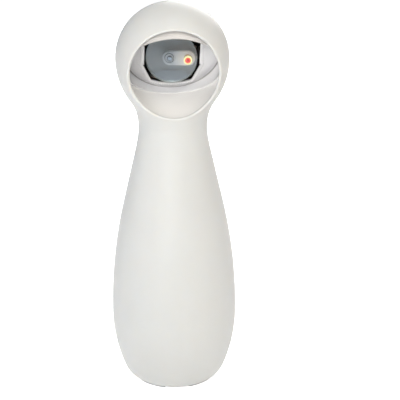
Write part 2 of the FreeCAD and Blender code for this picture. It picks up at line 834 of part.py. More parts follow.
def window_outline(grow, y):
    """The window's edges in the face plate, enlarged by grow, as a face at a depth."""
    half_width = float(S.window_half_width) + grow
    wide = half_width + float(S.window_step_out)
    foot = float(S.window_foot_half_width) + grow
    top = float(S.window_top) + grow
    crown = top + float(S.window_top_rise)
    low = float(S.window_foot) - grow
    hang = low - float(S.window_foot_drop)
    step = float(S.window_step)
    corners = [(half_width, top), (half_width, step), (wide, step), (foot, low)]
    right = [Vector(x, y, z) for x, z in corners]
    left = [Vector(-x, y, z) for x, z in corners]
    edges = [Part.makeLine(a, b) for side in (right, left) for a, b in zip(side, side[1:])]
    edges.append(Part.Arc(left[0], Vector(0, y, crown), right[0]).toShape())
    edges.append(Part.Arc(left[-1], Vector(0, y, hang), right[-1]).toShape())
    return Part.Face(Part.Wire(Part.__sortEdges__(edges)))


def plate_lug(side, sign):
    """One of the two lugs behind the plate that hold the pins of the tilt axis."""
    near = S.arm_inside + S.arm_thickness + S.lug_gap
    x = near if sign > 0 else -(near + S.lug_thickness)
    back = S.bezel_distance + S.bezel_thickness / 2
    web = box("lug_web_" + side, (x, x + S.lug_thickness), (back, P.lug_along),
              (P.lug_up - S.arm_half_width, P.lug_up + S.arm_half_width))
    end = cylinder("lug_end_" + side, S.arm_half_width, S.lug_thickness,
                   (x, P.lug_along, P.lug_up), TO_RIGHT)
    bore = cylinder("lug_bore_" + side, S.pivot_radius + S.running_fit, S.lug_thickness,
                    (x, P.lug_along, P.lug_up), TO_RIGHT)
    return cut("lug_" + side, fuse("lug_parts_" + side, web, end), bore)


def mirror_bezel():
    """The leaning face plate with its framed window and the two lugs of the tilt axis."""
    slab = common("plate_round",
                  cylinder("plate_slab", S.bezel_radius, S.bezel_thickness,
                           (0, S.bezel_distance, 0), TO_BACK),
                  sphere("plate_ball", S.bezel_radius, turn=TO_BACK))
    reach = fuse("plate_reach",
                 box("plate_below", (-FAR, FAR), (0, FAR), (-FAR, S.plate_top)),
                 cylinder("plate_crown", S.plate_crown_radius, FAR,
                          (0, 0, S.plate_crown - S.plate_crown_radius), TO_BACK))
    plate = common("bezel_plate", slab, reach)
    face = window_outline(float(S.window_frame_width),
                          float(S.bezel_distance - S.window_frame_height))
    frame = feature("window_frame", face.extrude(
        AXIS_Y * float(S.window_frame_height + S.bezel_thickness / 2)))
    hole = window_outline(0.0, float(S.bezel_distance - S.bezel_thickness))
    window = feature("window", hole.extrude(AXIS_Y * float(S.bezel_thickness * 3)))
    groove = cut("rim_groove",
                 cylinder("groove_disc", S.rim_groove_radius + S.rim_groove_width,
                          S.rim_groove_depth, (0, S.bezel_distance, 0), TO_BACK),
                 cylinder("groove_core", S.rim_groove_radius, S.bezel_thickness,
                          (0, S.bezel_distance, 0), TO_BACK))
    lugs = [plate_lug(side, sign) for side, sign in SIDES.items()]
    shape = cut("bezel_holed", fuse("bezel_parts", plate, frame, *lugs), window, groove)
    shape.Placement = BEZEL_PLACE
    # flat seats for the two screws, which run straight towards the front
    seat = P.bezel_face_y + S.bezel_pad_height
    front = half_space("pad_front", S.bezel_distance + S.plate_margin, False)
    front.Placement = BEZEL_PLACE.multiply(front.Placement)
    pads = []
    holes = []
    for side, sign in SIDES.items():
        x = S.bezel_boss_spread * sign
        post = cylinder("bezel_pad_" + side, S.small_screw_head + S.pad_margin,
                        S.bezel_pad_height, (x, P.bezel_face_y, P.bezel_boss_height), TO_BACK)
        pads.append(cut("bezel_pad_trimmed_" + side, post, front))
        holes.append(cylinder("bezel_hole_" + side, S.small_screw_radius, FAR,
                              (x, P.bezel_face_y - S.bezel_screw_reach, P.bezel_boss_height),
                              TO_BACK))
        small_screw("bezel_screw_" + side, S.bezel_screw_reach, (x, seat, P.bezel_boss_height),
                    TO_BACK)
    keep("mirror_bezel", cut("bezel_done", fuse("bezel_with_pads", shape, *pads), *holes))


def bezel_ring():
    """The glossy ring that rises from the plate's edge towards the bowl, open at the top."""
    skin = cut("ring_skin", sphere("ring_ball", S.bezel_radius, turn=TO_BACK),
               sphere("ring_hollow", S.bezel_rim_radius, turn=TO_BACK))
    ahead = half_space("ring_back", S.bezel_distance, False)
    front = half_space("ring_front", -S.rim_distance, True, Rotation(AXIS_X, float(S.rim_turn)))
    below = box("ring_below", (-FAR, FAR), (-FAR, FAR), (-FAR, S.rim_top))
    keep("bezel_ring", common("ring_band", skin, ahead, front, below),
         (0, 0, P.head_height), BEZEL_TURN)


def laser():
    """A small brass laser module in a clamp that is screwed under the top of the head."""
    lens_room = S.lens_depth + S.lens_recess
    barrel = cylinder("barrel_rod", S.barrel_radius, S.barrel_length)
    bore = cylinder("barrel_bore", S.lens_radius, lens_room)
    keep("laser_barrel", cut("barrel_bored", barrel, bore), LASER_AT, LASER_TURN)
    dome = sphere("lens_dome", S.lens_curve, (0, 0, S.lens_curve + S.lens_setback))
    rod = cylinder("lens_rod", S.lens_radius, lens_room)
    keep("laser_lens", common("lens_round", rod, dome), LASER_AT, LASER_TURN)
    start = S.clamp_front
    aside = -S.clamp_offset
    bar = box("clamp_bar", (aside, 0), (-S.clamp_half_width, S.clamp_half_width),
              (start, start + S.clamp_thickness))
    ends = [cylinder(f"clamp_end_{n}", S.clamp_half_width, S.clamp_thickness, (x, 0, start))
            for n, x in enumerate((0, aside))]
    ring_start = start - S.clamp_ring_height
    ring = cylinder("clamp_ring", S.small_screw_head + S.clamp_ring_margin, S.clamp_ring_height,
                    (aside, 0, ring_start))
    well = cylinder("clamp_well", S.small_screw_head + S.pad_margin, S.clamp_ring_height,
                    (aside, 0, ring_start))
    bores = [cylinder("clamp_bore", S.barrel_radius, S.clamp_thickness, (0, 0, start)),
             cylinder("clamp_screw_bore", S.small_screw_radius, S.clamp_thickness,
                      (aside, 0, start))]
    shape = cut("clamp_holed", fuse("clamp_parts", bar, ring, *ends), well, *bores)
    keep("laser_clamp", shape, LASER_AT, LASER_TURN)
    spot = LASER_PLACE.multVec(Vector(float(aside), 0, float(start)))
    small_screw("clamp_screw", S.clamp_thickness + S.clamp_screw_grip, (spot.x, spot.y, spot.z),
                LASER_TURN.multiply(Rotation(AXIS_X, 180)))


# ---------------------------------------------------------------- mirror and carriage
def mirror_rotor():
    """The round mirror, glued askew on its holder, which ends in the hub shaft."""
    disc = cylinder("mirror_glass", S.mirror_radius, S.mirror_thickness, (0, 0, 0), TO_BACK)
    doc.recompute()
    bevelled = doc.addObject("Part::Chamfer", "mirror_bevelled")
    bevelled.Base = disc
    bevelled.Edges = [(n, float(S.mirror_bevel), float(S.mirror_bevel))
                      for n, edge in enumerate(disc.Shape.Edges, start=1)
                      if edge.Curve.TypeId == "Part::GeomCircle"]
    keep("mirror_disc", bevelled, CARRIAGE_AT, MIRROR_TURN)
    block = cylinder("holder_block", S.holder_radius, S.holder_back + S.mirror_thickness,
                     (0, -S.mirror_thickness, 0), TO_BACK)
    glass = half_space("holder_face", S.mirror_thickness, False,
                       Rotation(AXIS_X, -float(S.mirror_skew_angle)))
    root = S.holder_back / 2
    shaft = cylinder("hub_shaft", S.hub_radius, S.hub_reach - root, (0, root, 0), TO_BACK)
    shape = fuse("holder_parts", cut("holder_wedge", block, glass), shaft)
    keep("mirror_holder", shape, CARRIAGE_AT, CARRIAGE_TURN)


def carriage():
    """The cradle that tilts on two pins and carries the gear case and the motor."""
    front = S.cradle_front
    back = S.cradle_front + S.cradle_thickness
    arm_out = S.arm_inside + S.arm_thickness
    low = P.pivot_up - S.arm_half_width
    high = P.pivot_up + S.arm_half_width
    parts = [cylinder("cradle_disc", S.cradle_radius, S.cradle_thickness, (0, front, 0), TO_BACK),
             box("cradle_beam", (-arm_out, arm_out), (front, back), (low, high))]
    holes = [cylinder("hub_bore", S.hub_radius + S.running_fit, back, (0, 0, 0), TO_BACK)]
    for side, (x, z) in CASE_SCREWS.items():
        holes.append(cylinder("cradle_pilot_" + side, S.small_screw_radius,
                              S.case_screw_grip + S.screw_clearance,
                              (x, back - S.case_screw_grip - S.screw_clearance, z), TO_BACK))
    pin_length = S.arm_thickness + S.lug_gap + S.lug_thickness
    for side, sign in SIDES.items():
        x = S.arm_inside if sign > 0 else -arm_out
        parts.append(box("arm_" + side, (x, x + S.arm_thickness), (P.pivot_along, back),
                         (low, high)))
        parts.append(cylinder("arm_end_" + side, S.arm_half_width, S.arm_thickness,
                              (x, P.pivot_along, P.pivot_up), TO_RIGHT))
        holes.append(cylinder("arm_bore_" + side, S.pivot_radius, S.arm_thickness,
                              (x, P.pivot_along, P.pivot_up), TO_RIGHT))
        start = S.arm_inside if sign > 0 else -(S.arm_inside + pin_length)
        pin = cylinder("pin_" + side, S.pivot_radius, pin_length,
                       (start, P.pivot_along, P.pivot_up), TO_RIGHT)
        inside_ball = sphere("inside_ball_" + side, S.head_radius - S.shell_wall,
                             (0, P.ball_along, P.ball_up))
        keep("pivot_pin_" + side, common("pin_trimmed_" + side, pin, inside_ball),
             CARRIAGE_AT, CARRIAGE_TURN)
    keep("cradle", cut("cradle_holed", fuse("cradle_parts", *parts), *holes),
         CARRIAGE_AT, CARRIAGE_TURN)


# ---------------------------------------------------------------- motor, worm and gear
CASE_START = S.cradle_front + S.cradle_thickness
AXIS_BACK = CASE_START + S.motor_flat
AXIS_UP = S.gear_pitch_radius + S.worm_pitch_radius
CASE_BACK = AXIS_BACK + S.motor_flat
WORM_HALF = P.gear_pitch * (WORM_TURNS + 1) / 2


def motor():
    """A flattened can motor across the carriage, with its plastic end cap and two tags."""
    can = cylinder("can_rod", S.motor_radius, S.motor_length, (S.motor_side, AXIS_BACK, AXIS_UP),
                   TO_RIGHT)
    flats = box("can_flats", (S.motor_side, S.motor_side + S.motor_length),
                (CASE_START, CASE_BACK), (AXIS_UP - S.motor_radius, AXIS_UP + S.motor_radius))
    bearing = cylinder("can_bearing", S.worm_shaft_radius + S.running_fit,
                       S.worm_shaft_reach + S.running_fit, (S.motor_side, AXIS_BACK, AXIS_UP),
                       TO_RIGHT)
    keep("motor_can", cut("can_bored", common("can_flattened", can, flats), bearing),
         CARRIAGE_AT, CARRIAGE_TURN)
    end = S.motor_side + S.motor_length
    cap = cylinder("cap_rod", S.motor_cap_radius, S.motor_cap_length, (end, AXIS_BACK, AXIS_UP),
                   TO_RIGHT)
    tags = []
    for side, sign in SIDES.items():
        middle = AXIS_UP + S.tag_spread * sign
        tags.append(box("tag_" + side, (end, end + S.motor_cap_length + S.tag_reach),
                        (AXIS_BACK - S.tag_half_width, AXIS_BACK + S.tag_half_width),
                        (middle - S.tag_thickness / 2, middle + S.tag_thickness / 2)))
    keep("motor_cap", fuse("cap_parts", cap, *tags), CARRIAGE_AT, CARRIAGE_TURN)


def worm():
    """The worm on the motor's shaft: a core with one helical thread."""
    owner = body("motor_worm_body")
    core = sketch_on(owner, "worm_core", "XZ_Plane")
    nose = S.worm_shaft_reach
    draw_polygon(core, [(0.0, -(WORM_HALF + nose)), (S.worm_shaft_radius, -(WORM_HALF + nose)),
                        (S.worm_shaft_radius, -WORM_HALF), (S.worm_root_radius, -WORM_HALF),
                        (S.worm_root_radius, WORM_HALF), (S.worm_shaft_radius, WORM_HALF),
                        (S.worm_shaft_radius, S.motor_side + nose),
                        (0.0, S.motor_side + nose)])
    revolve(owner, core)
    thread = sketch_on(owner, "worm_thread", "XZ_Plane")
    start = -P.gear_pitch * WORM_TURNS / 2
    sunk = S.worm_root_radius - S.tooth_root_sink
    draw_polygon(thread, [(sunk, start - S.worm_root_half), (sunk, start + S.worm_root_half),
                          (S.worm_tip_radius, start + S.worm_tip_half),
                          (S.worm_tip_radius, start - S.worm_tip_half)])
    doc.recompute()
    helix = owner.newObject("PartDesign::AdditiveHelix", "worm_helix")
    helix.Profile = thread
    helix.ReferenceAxis = (thread, ["V_Axis"])
    helix.Mode = "pitch-turns-angle"
    bind(helix, "Pitch", P.gear_pitch)
    bind(helix, "Turns", WORM_TURNS)
    owner.Tip = helix
    spot = CARRIAGE_PLACE.multVec(Vector(0, float(AXIS_BACK), float(AXIS_UP)))
    keep("motor_worm", owner, (spot.x, spot.y, spot.z), TO_RIGHT)


def hub_gear():
    """The gear on the mirror's hub; its teeth lean by the worm's lead."""
    owner = body("hub_gear_body")
    face = sketch_on(owner, "gear_face", "XY_Plane")
    draw_circle(face, S.gear_root_radius)
    draw_circle(face, S.hub_radius)
    pad(owner, face, S.gear_width)
    lead = P.gear_pitch / (2 * math.pi * S.worm_pitch_radius)
    shift = lead * S.gear_width / 2
    low = S.gear_root_radius - S.tooth_root_sink
    tooth = sketch_on(owner, "gear_tooth", "XY_Plane")
    draw_polygon(tooth, [(shift - S.tooth_root_half, low), (shift + S.tooth_root_half, low),
                         (shift + S.tooth_tip_half, S.gear_tip_radius),
                         (shift - S.tooth_tip_half, S.gear_tip_radius)])
    tooth_pad = pad(owner, tooth, S.gear_width)
    tooth_pad.UseCustomVector = True
    tooth_pad.Direction = Vector(-float(lead), 0, 1)
    tooth_pad.AlongSketchNormal = True
    doc.recompute()
    teeth = owner.newObject("PartDesign::PolarPattern", "gear_teeth")
    teeth.Originals = [tooth_pad]
    teeth.Axis = (face, ["N_Axis"])
    teeth.Angle = 360.0
    teeth.Occurrences = GEAR_TEETH
    owner.Tip = teeth
    back = float(AXIS_BACK + S.gear_width / 2)
    spot = CARRIAGE_PLACE.multVec(Vector(0, back, 0))
    keep("hub_gear", owner, (spot.x, spot.y, spot.z), CARRIAGE_TURN.multiply(TO_FRONT))


def half_case(name, low, high, *holes):
    """Half of the gear case: round about the hub, square about the worm, an ear for each screw."""
    parts = [cylinder(name + "_round", S.case_round_radius, high - low, (0, low, 0), TO_BACK),
             box(name + "_box", (-S.case_left, S.motor_side), (low, high), (0, S.case_top))]
    for side, (x, z) in CASE_SCREWS.items():
        parts.append(cylinder(name + "_ear_" + side, S.case_ear_radius, high - low,
                              (x, low, z), TO_BACK))
    room_front = CASE_START + S.case_front_wall
    room_back = AXIS_BACK + S.gear_width / 2 + S.gear_gap
    inside = WORM_HALF + S.gear_gap
    nose = WORM_HALF + S.worm_shaft_reach + S.running_fit
    rooms = [
        cylinder(name + "_gear_room", S.gear_tip_radius + S.gear_gap, room_back - room_front,
                 (0, room_front, 0), TO_BACK),
        cylinder(name + "_worm_room", S.worm_tip_radius + S.gear_gap, inside + S.motor_side,
                 (-inside, AXIS_BACK, AXIS_UP), TO_RIGHT),
        cylinder(name + "_bearing", S.worm_shaft_radius + S.running_fit, nose,
                 (-nose, AXIS_BACK, AXIS_UP), TO_RIGHT),
        box(name + "_motor_room", (S.motor_side, FAR), (0, CASE_BACK),
            (AXIS_UP - S.motor_radius, FAR)),
    ]
    return cut(name + "_holed", fuse(name + "_parts", *parts), *rooms, *holes)


def gear_case():
    """The two halves of the gear case, and the two screws that hold both to the cradle."""
    hub_room = cylinder("hub_room", S.hub_radius + S.gear_gap, CASE_BACK - S.gear_gap,
                        (0, 0, 0), TO_BACK)
    pocket_back = AXIS_BACK + S.gear_width / 2 + S.gear_gap + S.hub_pocket_depth
    hub_pocket = cylinder("hub_pocket", S.hub_radius + S.running_fit, pocket_back, (0, 0, 0),
                          TO_BACK)
    seat = CASE_BACK - S.small_screw_head_depth
    case_holes = [hub_room]
    cover_holes = [hub_pocket]
    for side, (x, z) in CASE_SCREWS.items():
        case_holes.append(cylinder("case_bore_" + side, S.small_screw_radius, CASE_BACK,
                                   (x, 0, z), TO_BACK))
        cover_holes.append(cylinder("cover_bore_" + side, S.small_screw_radius, CASE_BACK,
                                    (x, 0, z), TO_BACK))
        cover_holes.append(cylinder("cover_seat_" + side, S.case_ear_radius + S.head_clearance,
                                    S.small_screw_head_depth, (x, seat, z), TO_BACK))
        spot = CARRIAGE_PLACE.multVec(Vector(float(x), float(seat), float(z)))
        small_screw("cover_screw_" + side, seat - CASE_START + S.case_screw_grip,
                    (spot.x, spot.y, spot.z), CARRIAGE_TURN.multiply(TO_BACK))
    keep("gear_case", half_case("case", CASE_START, AXIS_BACK, *case_holes),
         CARRIAGE_AT, CARRIAGE_TURN)
    strap = box("motor_strap", (-S.strap_half_width, S.motor_side + S.strap_reach),
                (CASE_BACK, CASE_BACK + S.strap_thickness),
                (AXIS_UP - S.strap_half_width, AXIS_UP + S.strap_half_width))
    cover = half_case("cover", AXIS_BACK, CASE_BACK, *cover_holes)
    keep("gear_cover", fuse("cover_with_strap", cover, strap), CARRIAGE_AT, CARRIAGE_TURN)


# ---------------------------------------------------------------- batteries and door
DOOR_TOP = S.foot_thickness + S.door_thickness
CELL_BOTTOM = DOOR_TOP + S.contact_thickness + S.cell_lift
CELL_TOP = CELL_BOTTOM + S.cell_length + S.nub_length


def cell_places():
    """Where the four cells stand, as (x, y), and whether each has its plus end up."""
    half = S.cell_spacing / 2
    return [(-half, -half, True), (half, -half, False), (half, half, True), (-half, half, False)]


def cells():
    """Four AA cells, standing two by two, every other one upside down."""
    for number, (x, y, plus_up) in enumerate(cell_places(), start=1):
        owner = body(f"cell_{number}")
        profile = sketch_on(owner, f"cell_{number}_profile", "XZ_Plane")
        high = S.cell_length + S.nub_length
        draw_polygon(profile, [(0.0, 0.0), (S.cell_radius, 0.0), (S.cell_radius, S.cell_length),
                               (S.nub_radius, S.cell_length), (S.nub_radius, high), (0.0, high)])
        revolve(owner, profile)
        if plus_up:
            keep(f"aa_cell_{number}", owner, (x, y, CELL_BOTTOM))
        else:
            keep(f"aa_cell_{number}", owner, (x, y, CELL_TOP), Rotation(AXIS_X, 180))


def wedge(name, radius, middle, half_angle, low, high):
    """A slice of a disc about the vertical axis."""
    item = cylinder(name, radius, high - low, (0, 0, low), Rotation(AXIS_Z, middle - float(half_angle)))
    bind(item, "Angle", half_angle * 2)
    return item


def battery_case():
    """The case of four joined tubes, its collar and flange, and the grooves of the twist door."""
    pocket_radius = S.cell_radius + S.cell_clearance
    corner = pocket_radius + S.case_wall
    half = S.cell_spacing / 2
    reach = half + corner
    case_floor = DOOR_TOP + S.contact_thickness + S.case_lift
    room_top = CELL_TOP + S.contact_thickness
    block = box("case_block", (-reach, reach), (-reach, reach),
                (case_floor, room_top + S.case_top_thickness))
    upright = rounded("case_rounded", block, corner - S.corner_play,
                      lambda edge: abs(edge.tangentAt(edge.FirstParameter).z) > 0.9)
    floor_top = S.foot_thickness + S.shell_wall
    collar = cylinder("collar", S.collar_radius, S.shell_wall + S.flange_thickness,
                      (0, 0, S.foot_thickness))
    flange = cylinder("flange", S.flange_radius, S.flange_thickness, (0, 0, floor_top))
    groove_low = S.foot_thickness + S.lip_height
    strip = half + S.contact_half_width + S.contact_clearance
    holes = [
        cylinder("door_lip_bore", S.lip_radius, groove_low),
        cylinder("door_groove", S.groove_radius, case_floor - groove_low, (0, 0, groove_low)),
        box("case_middle", (-half, half), (-half, half), (0, room_top)),
        box("contact_recess", (-strip, strip), (-strip, strip),
            (CELL_TOP - S.contact_clearance, room_top)),
    ]
    for number, (x, y, _) in enumerate(cell_places(), start=1):
        holes.append(cylinder(f"cell_pocket_{number}", pocket_radius, room_top, (x, y, 0)))
    for number in range(TABS):
        middle = number * 360 / TABS + float(S.door_turn)
        holes.append(wedge(f"tab_notch_{number}", S.groove_radius, middle,
                           S.tab_half_angle + S.tab_slack_angle, 0, groove_low + S.tab_gap))
    keep("battery_case", cut("case_holed", fuse("case_parts_all", upright, collar, flange), *holes))
    for name, spots in (("upper_contact_1", (0, 1)), ("upper_contact_2", (2,)),
                        ("upper_contact_3", (3,))):
        contact(name, spots, CELL_TOP)


def contact(name, spots, z):
    """A flat contact strip over one cell end, or bridging two."""
    owner = body(name + "_body")
    outline = sketch_on(owner, name + "_outline", "XY_Plane", z)
    xs = [cell_places()[n][0] for n in spots]
    ys = [cell_places()[n][1] for n in spots]
    reach = S.contact_half_width
    draw_box(outline, min(xs) - reach, max(xs) + reach, min(ys) - reach, max(ys) + reach)
    pad(owner, outline, S.contact_thickness)
    keep(name, owner)


def battery_door():
    """The round door: a disc with bayonet tabs and a coin slot, and its two contact strips."""
    owner = body("door_body")
    face = sketch_on(owner, "door_face", "XY_Plane", S.foot_thickness)
    draw_circle(face, S.lip_radius - S.door_clearance)
    pad(owner, face, S.door_thickness)
    slot = sketch_on(owner, "door_slot", "XY_Plane", S.foot_thickness)
    draw_box(slot, -S.coin_slot_length / 2, S.coin_slot_length / 2,
             -S.coin_slot_width / 2, S.coin_slot_width / 2)
    pocket(owner, slot, S.coin_slot_depth, downwards=False)
    low = S.foot_thickness + S.lip_height + S.tab_gap
    tabs = [wedge(f"door_tab_{n}", S.groove_radius - S.door_clearance, n * 360 / TABS,
                  S.tab_half_angle, low, DOOR_TOP) for n in range(TABS)]
    keep("battery_door", fuse("door_parts", owner, *tabs))
    contact("door_contact_1", (1, 2), DOOR_TOP)
    contact("door_contact_2", (3, 0), DOOR_TOP)


def foot_pads():
    """Soft pads on the ring round the battery door."""
    for number in range(FEET):
        middle = (number + 0.5) * 360 / FEET
        owner = body(f"foot_{number}")
        profile = sketch_on(owner, f"foot_{number}_profile", "XZ_Plane")
        draw_box(profile, S.foot_inner_radius, S.foot_outer_radius, 0.0, S.foot_thickness)
        revolve(owner, profile, S.foot_span)
        keep(f"foot_pad_{number + 1}", owner, (0, 0, 0),
             Rotation(AXIS_Z, middle - float(S.foot_span) / 2))


# ---------------------------------------------------------------- board and button
BOARD_BACK = S.board_front + S.board_thickness
SWITCH_BACK = BOARD_BACK + S.switch_depth


def control_board():
    """The board on two posts of the rear shell, with its switch, chip and capacitor."""
    owner = body("board_body")
    face = sketch_on(owner, "board_face", "XZ_Plane", -BOARD_BACK)
    draw_box(face, -S.board_half_width, S.board_half_width, P.board_low, P.board_high)
    for z in BOARD_SCREWS.values():
        draw_circle(face, S.small_screw_radius, 0.0, z)
    pad(owner, face, S.board_thickness)
    keep("control_board", owner)
    half_width = S.switch_half_width
    block = box("switch_block", (-half_width, half_width), (BOARD_BACK, SWITCH_BACK),
                (P.button_height - half_width, P.button_height + half_width))
    hole = cylinder("switch_hole", S.plunger_radius + S.plunger_clearance, FAR,
                    (0, SWITCH_BACK - S.plunger_hole_depth, P.button_height), TO_BACK)
    keep("tact_switch", cut("switch_bored", block, hole))
    chip_low = P.board_low + S.chip_up_board
    keep("logic_chip", box("chip", (-S.chip_half_width, S.chip_half_width),
                           (S.board_front - S.chip_depth, S.board_front),
                           (chip_low, chip_low + S.chip_length)))
    keep("capacitor", cylinder("capacitor_can", S.capacitor_radius, S.capacitor_length,
                               (S.capacitor_x, S.board_front, P.board_low + S.capacitor_up_board),
                               TO_FRONT))
    for end, z in BOARD_SCREWS.items():
        small_screw("board_screw_" + end, S.board_thickness + S.board_screw_grip,
                    (0, S.board_front, z), TO_FRONT)


def power_button():
    """The round button at the back, its face following the housing, and the switch plunger."""
    rod = cylinder("button_rod", S.button_radius, FAR,
                   (0, SWITCH_BACK + S.button_stem_gap, P.button_height), TO_BACK)
    cap = common("button_cap", rod, feature("button_skin", outline_solid(-S.button_proud)))
    flange = cylinder("button_flange", S.button_flange, FAR, (0, 0, P.button_height), TO_BACK)
    outside = S.shell_wall + S.button_flange_gap
    ring = cut("flange_ring",
               common("flange_zone", flange, feature("flange_outside", outline_solid(outside))),
               feature("flange_inside", outline_solid(outside + S.button_flange_thickness)))
    keep("power_button", fuse("button_parts", cap, ring))
    start = SWITCH_BACK - S.plunger_hole_depth + S.button_travel
    keep("switch_plunger", cylinder("plunger", S.plunger_radius,
                                    SWITCH_BACK + S.button_stem_gap - start,
                                    (0, start, P.button_height), TO_BACK))


# ---------------------------------------------------------------- build
shells()
inner_bowl()
mirror_bezel()
bezel_ring()
laser()
mirror_rotor()
carriage()
motor()
worm()
hub_gear()
gear_case()
cells()
battery_case()
battery_door()
foot_pads()
control_board()
power_button()
doc.recompute()

for item in doc.Objects:
    if "Invalid" in item.State or "Error" in item.State:
        raise RuntimeError(f"{item.Label} failed: {item.State}")
faults = []
for name, item in nodes.items():
    if item.Shape.isNull() or not item.Shape.isValid():
        raise RuntimeError(f"{name} has no valid shape")
    if len(item.Shape.Solids) != 1:
        boxes = "; ".join(f"{p.Volume:.1f} {p.BoundBox}" for p in item.Shape.Solids)
        faults.append(f"{name} has {len(item.Shape.Solids)} solids: {boxes}")
if faults:
    raise RuntimeError("\n".join(faults))

os.makedirs("parts", exist_ok=True)
for name, item in nodes.items():
    item.Shape.exportStep(f"parts/{name}.step")
print(len(nodes), "sub-parts")
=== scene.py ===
# %% [markdown]
# # An automatic cat laser toy
# A white, pin-shaped housing stands on the floor. Behind the round opening in its head a small
# motor turns a leaning mirror. A red laser above the opening shines on it, so a dot runs over the
# floor in circles. The construction comes as a fixed frame of CAD pieces in metres. This file gives
# them their looks: moulded white plastic, silvered glass, brass, steel, and a plain white studio.

# %% Load the frame
import math

import bmesh
import bpy
from mathutils import Matrix, Vector


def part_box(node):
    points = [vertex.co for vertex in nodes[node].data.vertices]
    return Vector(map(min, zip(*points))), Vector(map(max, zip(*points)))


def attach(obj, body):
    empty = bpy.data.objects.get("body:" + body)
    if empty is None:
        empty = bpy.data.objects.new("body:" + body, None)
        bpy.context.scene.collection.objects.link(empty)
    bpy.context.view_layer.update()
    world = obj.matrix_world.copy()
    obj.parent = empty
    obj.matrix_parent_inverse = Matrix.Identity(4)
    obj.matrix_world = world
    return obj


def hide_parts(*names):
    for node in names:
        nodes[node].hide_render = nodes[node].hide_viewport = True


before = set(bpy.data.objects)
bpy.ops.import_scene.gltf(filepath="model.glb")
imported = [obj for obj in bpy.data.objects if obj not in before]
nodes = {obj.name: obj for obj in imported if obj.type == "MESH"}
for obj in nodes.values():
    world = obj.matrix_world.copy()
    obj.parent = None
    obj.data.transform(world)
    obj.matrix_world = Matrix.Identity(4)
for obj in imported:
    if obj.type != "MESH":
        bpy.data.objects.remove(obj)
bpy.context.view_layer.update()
MM = 0.001
print("pieces in the frame:", len(nodes))

# %% [markdown]
# ## The camera
# A product picture of a pale thing on white lives by its edges. The camera stands a little to one
# side and looks slightly down with a long lens, so the shape keeps its true proportions and the
# eye can look through the opening onto the mirror.

# %% Camera
camera_data = bpy.data.cameras.new("camera")
camera_data.lens = 106.1
camera_data.sensor_width = 36.0
camera = bpy.data.objects.new("camera", camera_data)
bpy.context.collection.objects.link(camera)
eye = Vector((-0.03768, -0.66486, 0.32730))
aim = Vector((0.01571, -0.00126, 0.11099))
camera.location = eye
camera.rotation_euler = (aim - eye).to_track_quat("-Z", "Y").to_euler()
bpy.context.scene.camera = camera
print("camera distance in mm:", round((aim - eye).length / MM))


# %% [markdown]
# ## Building materials out of nodes
# A node material is a small machine: patterns go in, and colour, gloss and relief come out. Three
# helpers build every one below. The first turns a hex colour into linear light. The second adds any
# node with its settings and links, and hands back the output that the next node needs. The third
# starts a material with its one Principled shader.

# %% Helpers for colours and nodes
def linear(hex_colour):
    """An sRGB colour such as "E8E8E6" as linear red, green, blue and alpha."""
    channels = [int(hex_colour[i:i + 2], 16) / 255 for i in (0, 2, 4)]
    return [c / 12.92 if c <= 0.04045 else ((c + 0.055) / 1.055) ** 2.4 for c in channels] + [1.0]


def add(tree, kind, inputs=None, out=0, **settings):
    """Add a node, fill its inputs with numbers, hex colours or outputs, hand back one output."""
    node = tree.nodes.new("ShaderNode" + kind)
    for name, setting in settings.items():
        setattr(node, name, setting)
    for name, amount in (inputs or {}).items():
        if isinstance(amount, bpy.types.NodeSocket):
            tree.links.new(amount, node.inputs[name])
        else:
            node.inputs[name].default_value = linear(amount) if isinstance(amount, str) else amount
    return node.outputs[out] if node.outputs else None


def new_material(name, **inputs):
    """A material with one Principled shader, its inputs set by their names with _ for spaces."""
    material = bpy.data.materials.new(name)
    material.use_nodes = True
    shader = material.node_tree.nodes["Principled BSDF"]
    for key, amount in inputs.items():
        shader.inputs[key.replace("_", " ")].default_value = amount
    return material, material.node_tree, shader


print("middle grey 808080 in linear light:", round(linear("808080")[0], 3))


# %% [markdown]
# Patterns start from Object coordinates, which are metres on the piece itself, so each pattern has
# a real size and stays on its piece when that moves. `mottle` gives clouds whose size is stated in
# millimetres. `wire` leads patterns into the shader's colour, its gloss, and a shallow relief.
#
# Two nodes come back again and again. Map Range stretches a pattern: input 0 is the pattern, 1 and
# 2 are the range it comes in, 3 and 4 the range it goes out with, and it holds its ends. Mix blends
# two colours: input 0 is the share of the second, and 6 and 7 are the colours.

# %% Helpers for patterns
COLOURS = {"out": 2, "data_type": "RGBA"}


def mottle(tree, size_mm, detail=2.0, stretch=(1, 1, 1)):
    """Cloudy noise from 0 to 1 whose blobs are about size_mm across on the real piece."""
    spot = add(tree, "TexCoord", out="Object")
    scaled = add(tree, "Mapping", {"Vector": spot, "Scale": stretch})
    return add(tree, "TexNoise", {"Vector": scaled, "Scale": 1 / (size_mm * MM),
                                  "Detail": detail}, out="Fac")


def wire(tree, shader, colour=None, roughness=None, height=None, depth_mm=0.01):
    """Connect patterns to the shader: its colour, its gloss and a relief of a real depth."""
    if colour is not None:
        tree.links.new(colour, shader.inputs["Base Color"])
    if roughness is not None:
        tree.links.new(roughness, shader.inputs["Roughness"])
    if height is not None:
        relief = add(tree, "Bump", {"Height": height, "Distance": depth_mm * MM})
        tree.links.new(relief, shader.inputs["Normal"])


def dress(material, *names):
    """Give CAD pieces a material."""
    for name in names:
        slots = nodes[name].data.materials
        slots.clear()
        slots.append(material)
    print(material.name, "on", len(names), "pieces")


print("a pattern of 1 mm has a noise scale of", round(1 / MM))


# %% [markdown]
# Some finishes belong to a place: a line round a screw, a dark joint, a warm patch near the laser.
# They are drawn by measuring how far a spot on the piece is from a point, from an axis, or along a
# direction. `band` then marks what lies between two such distances.

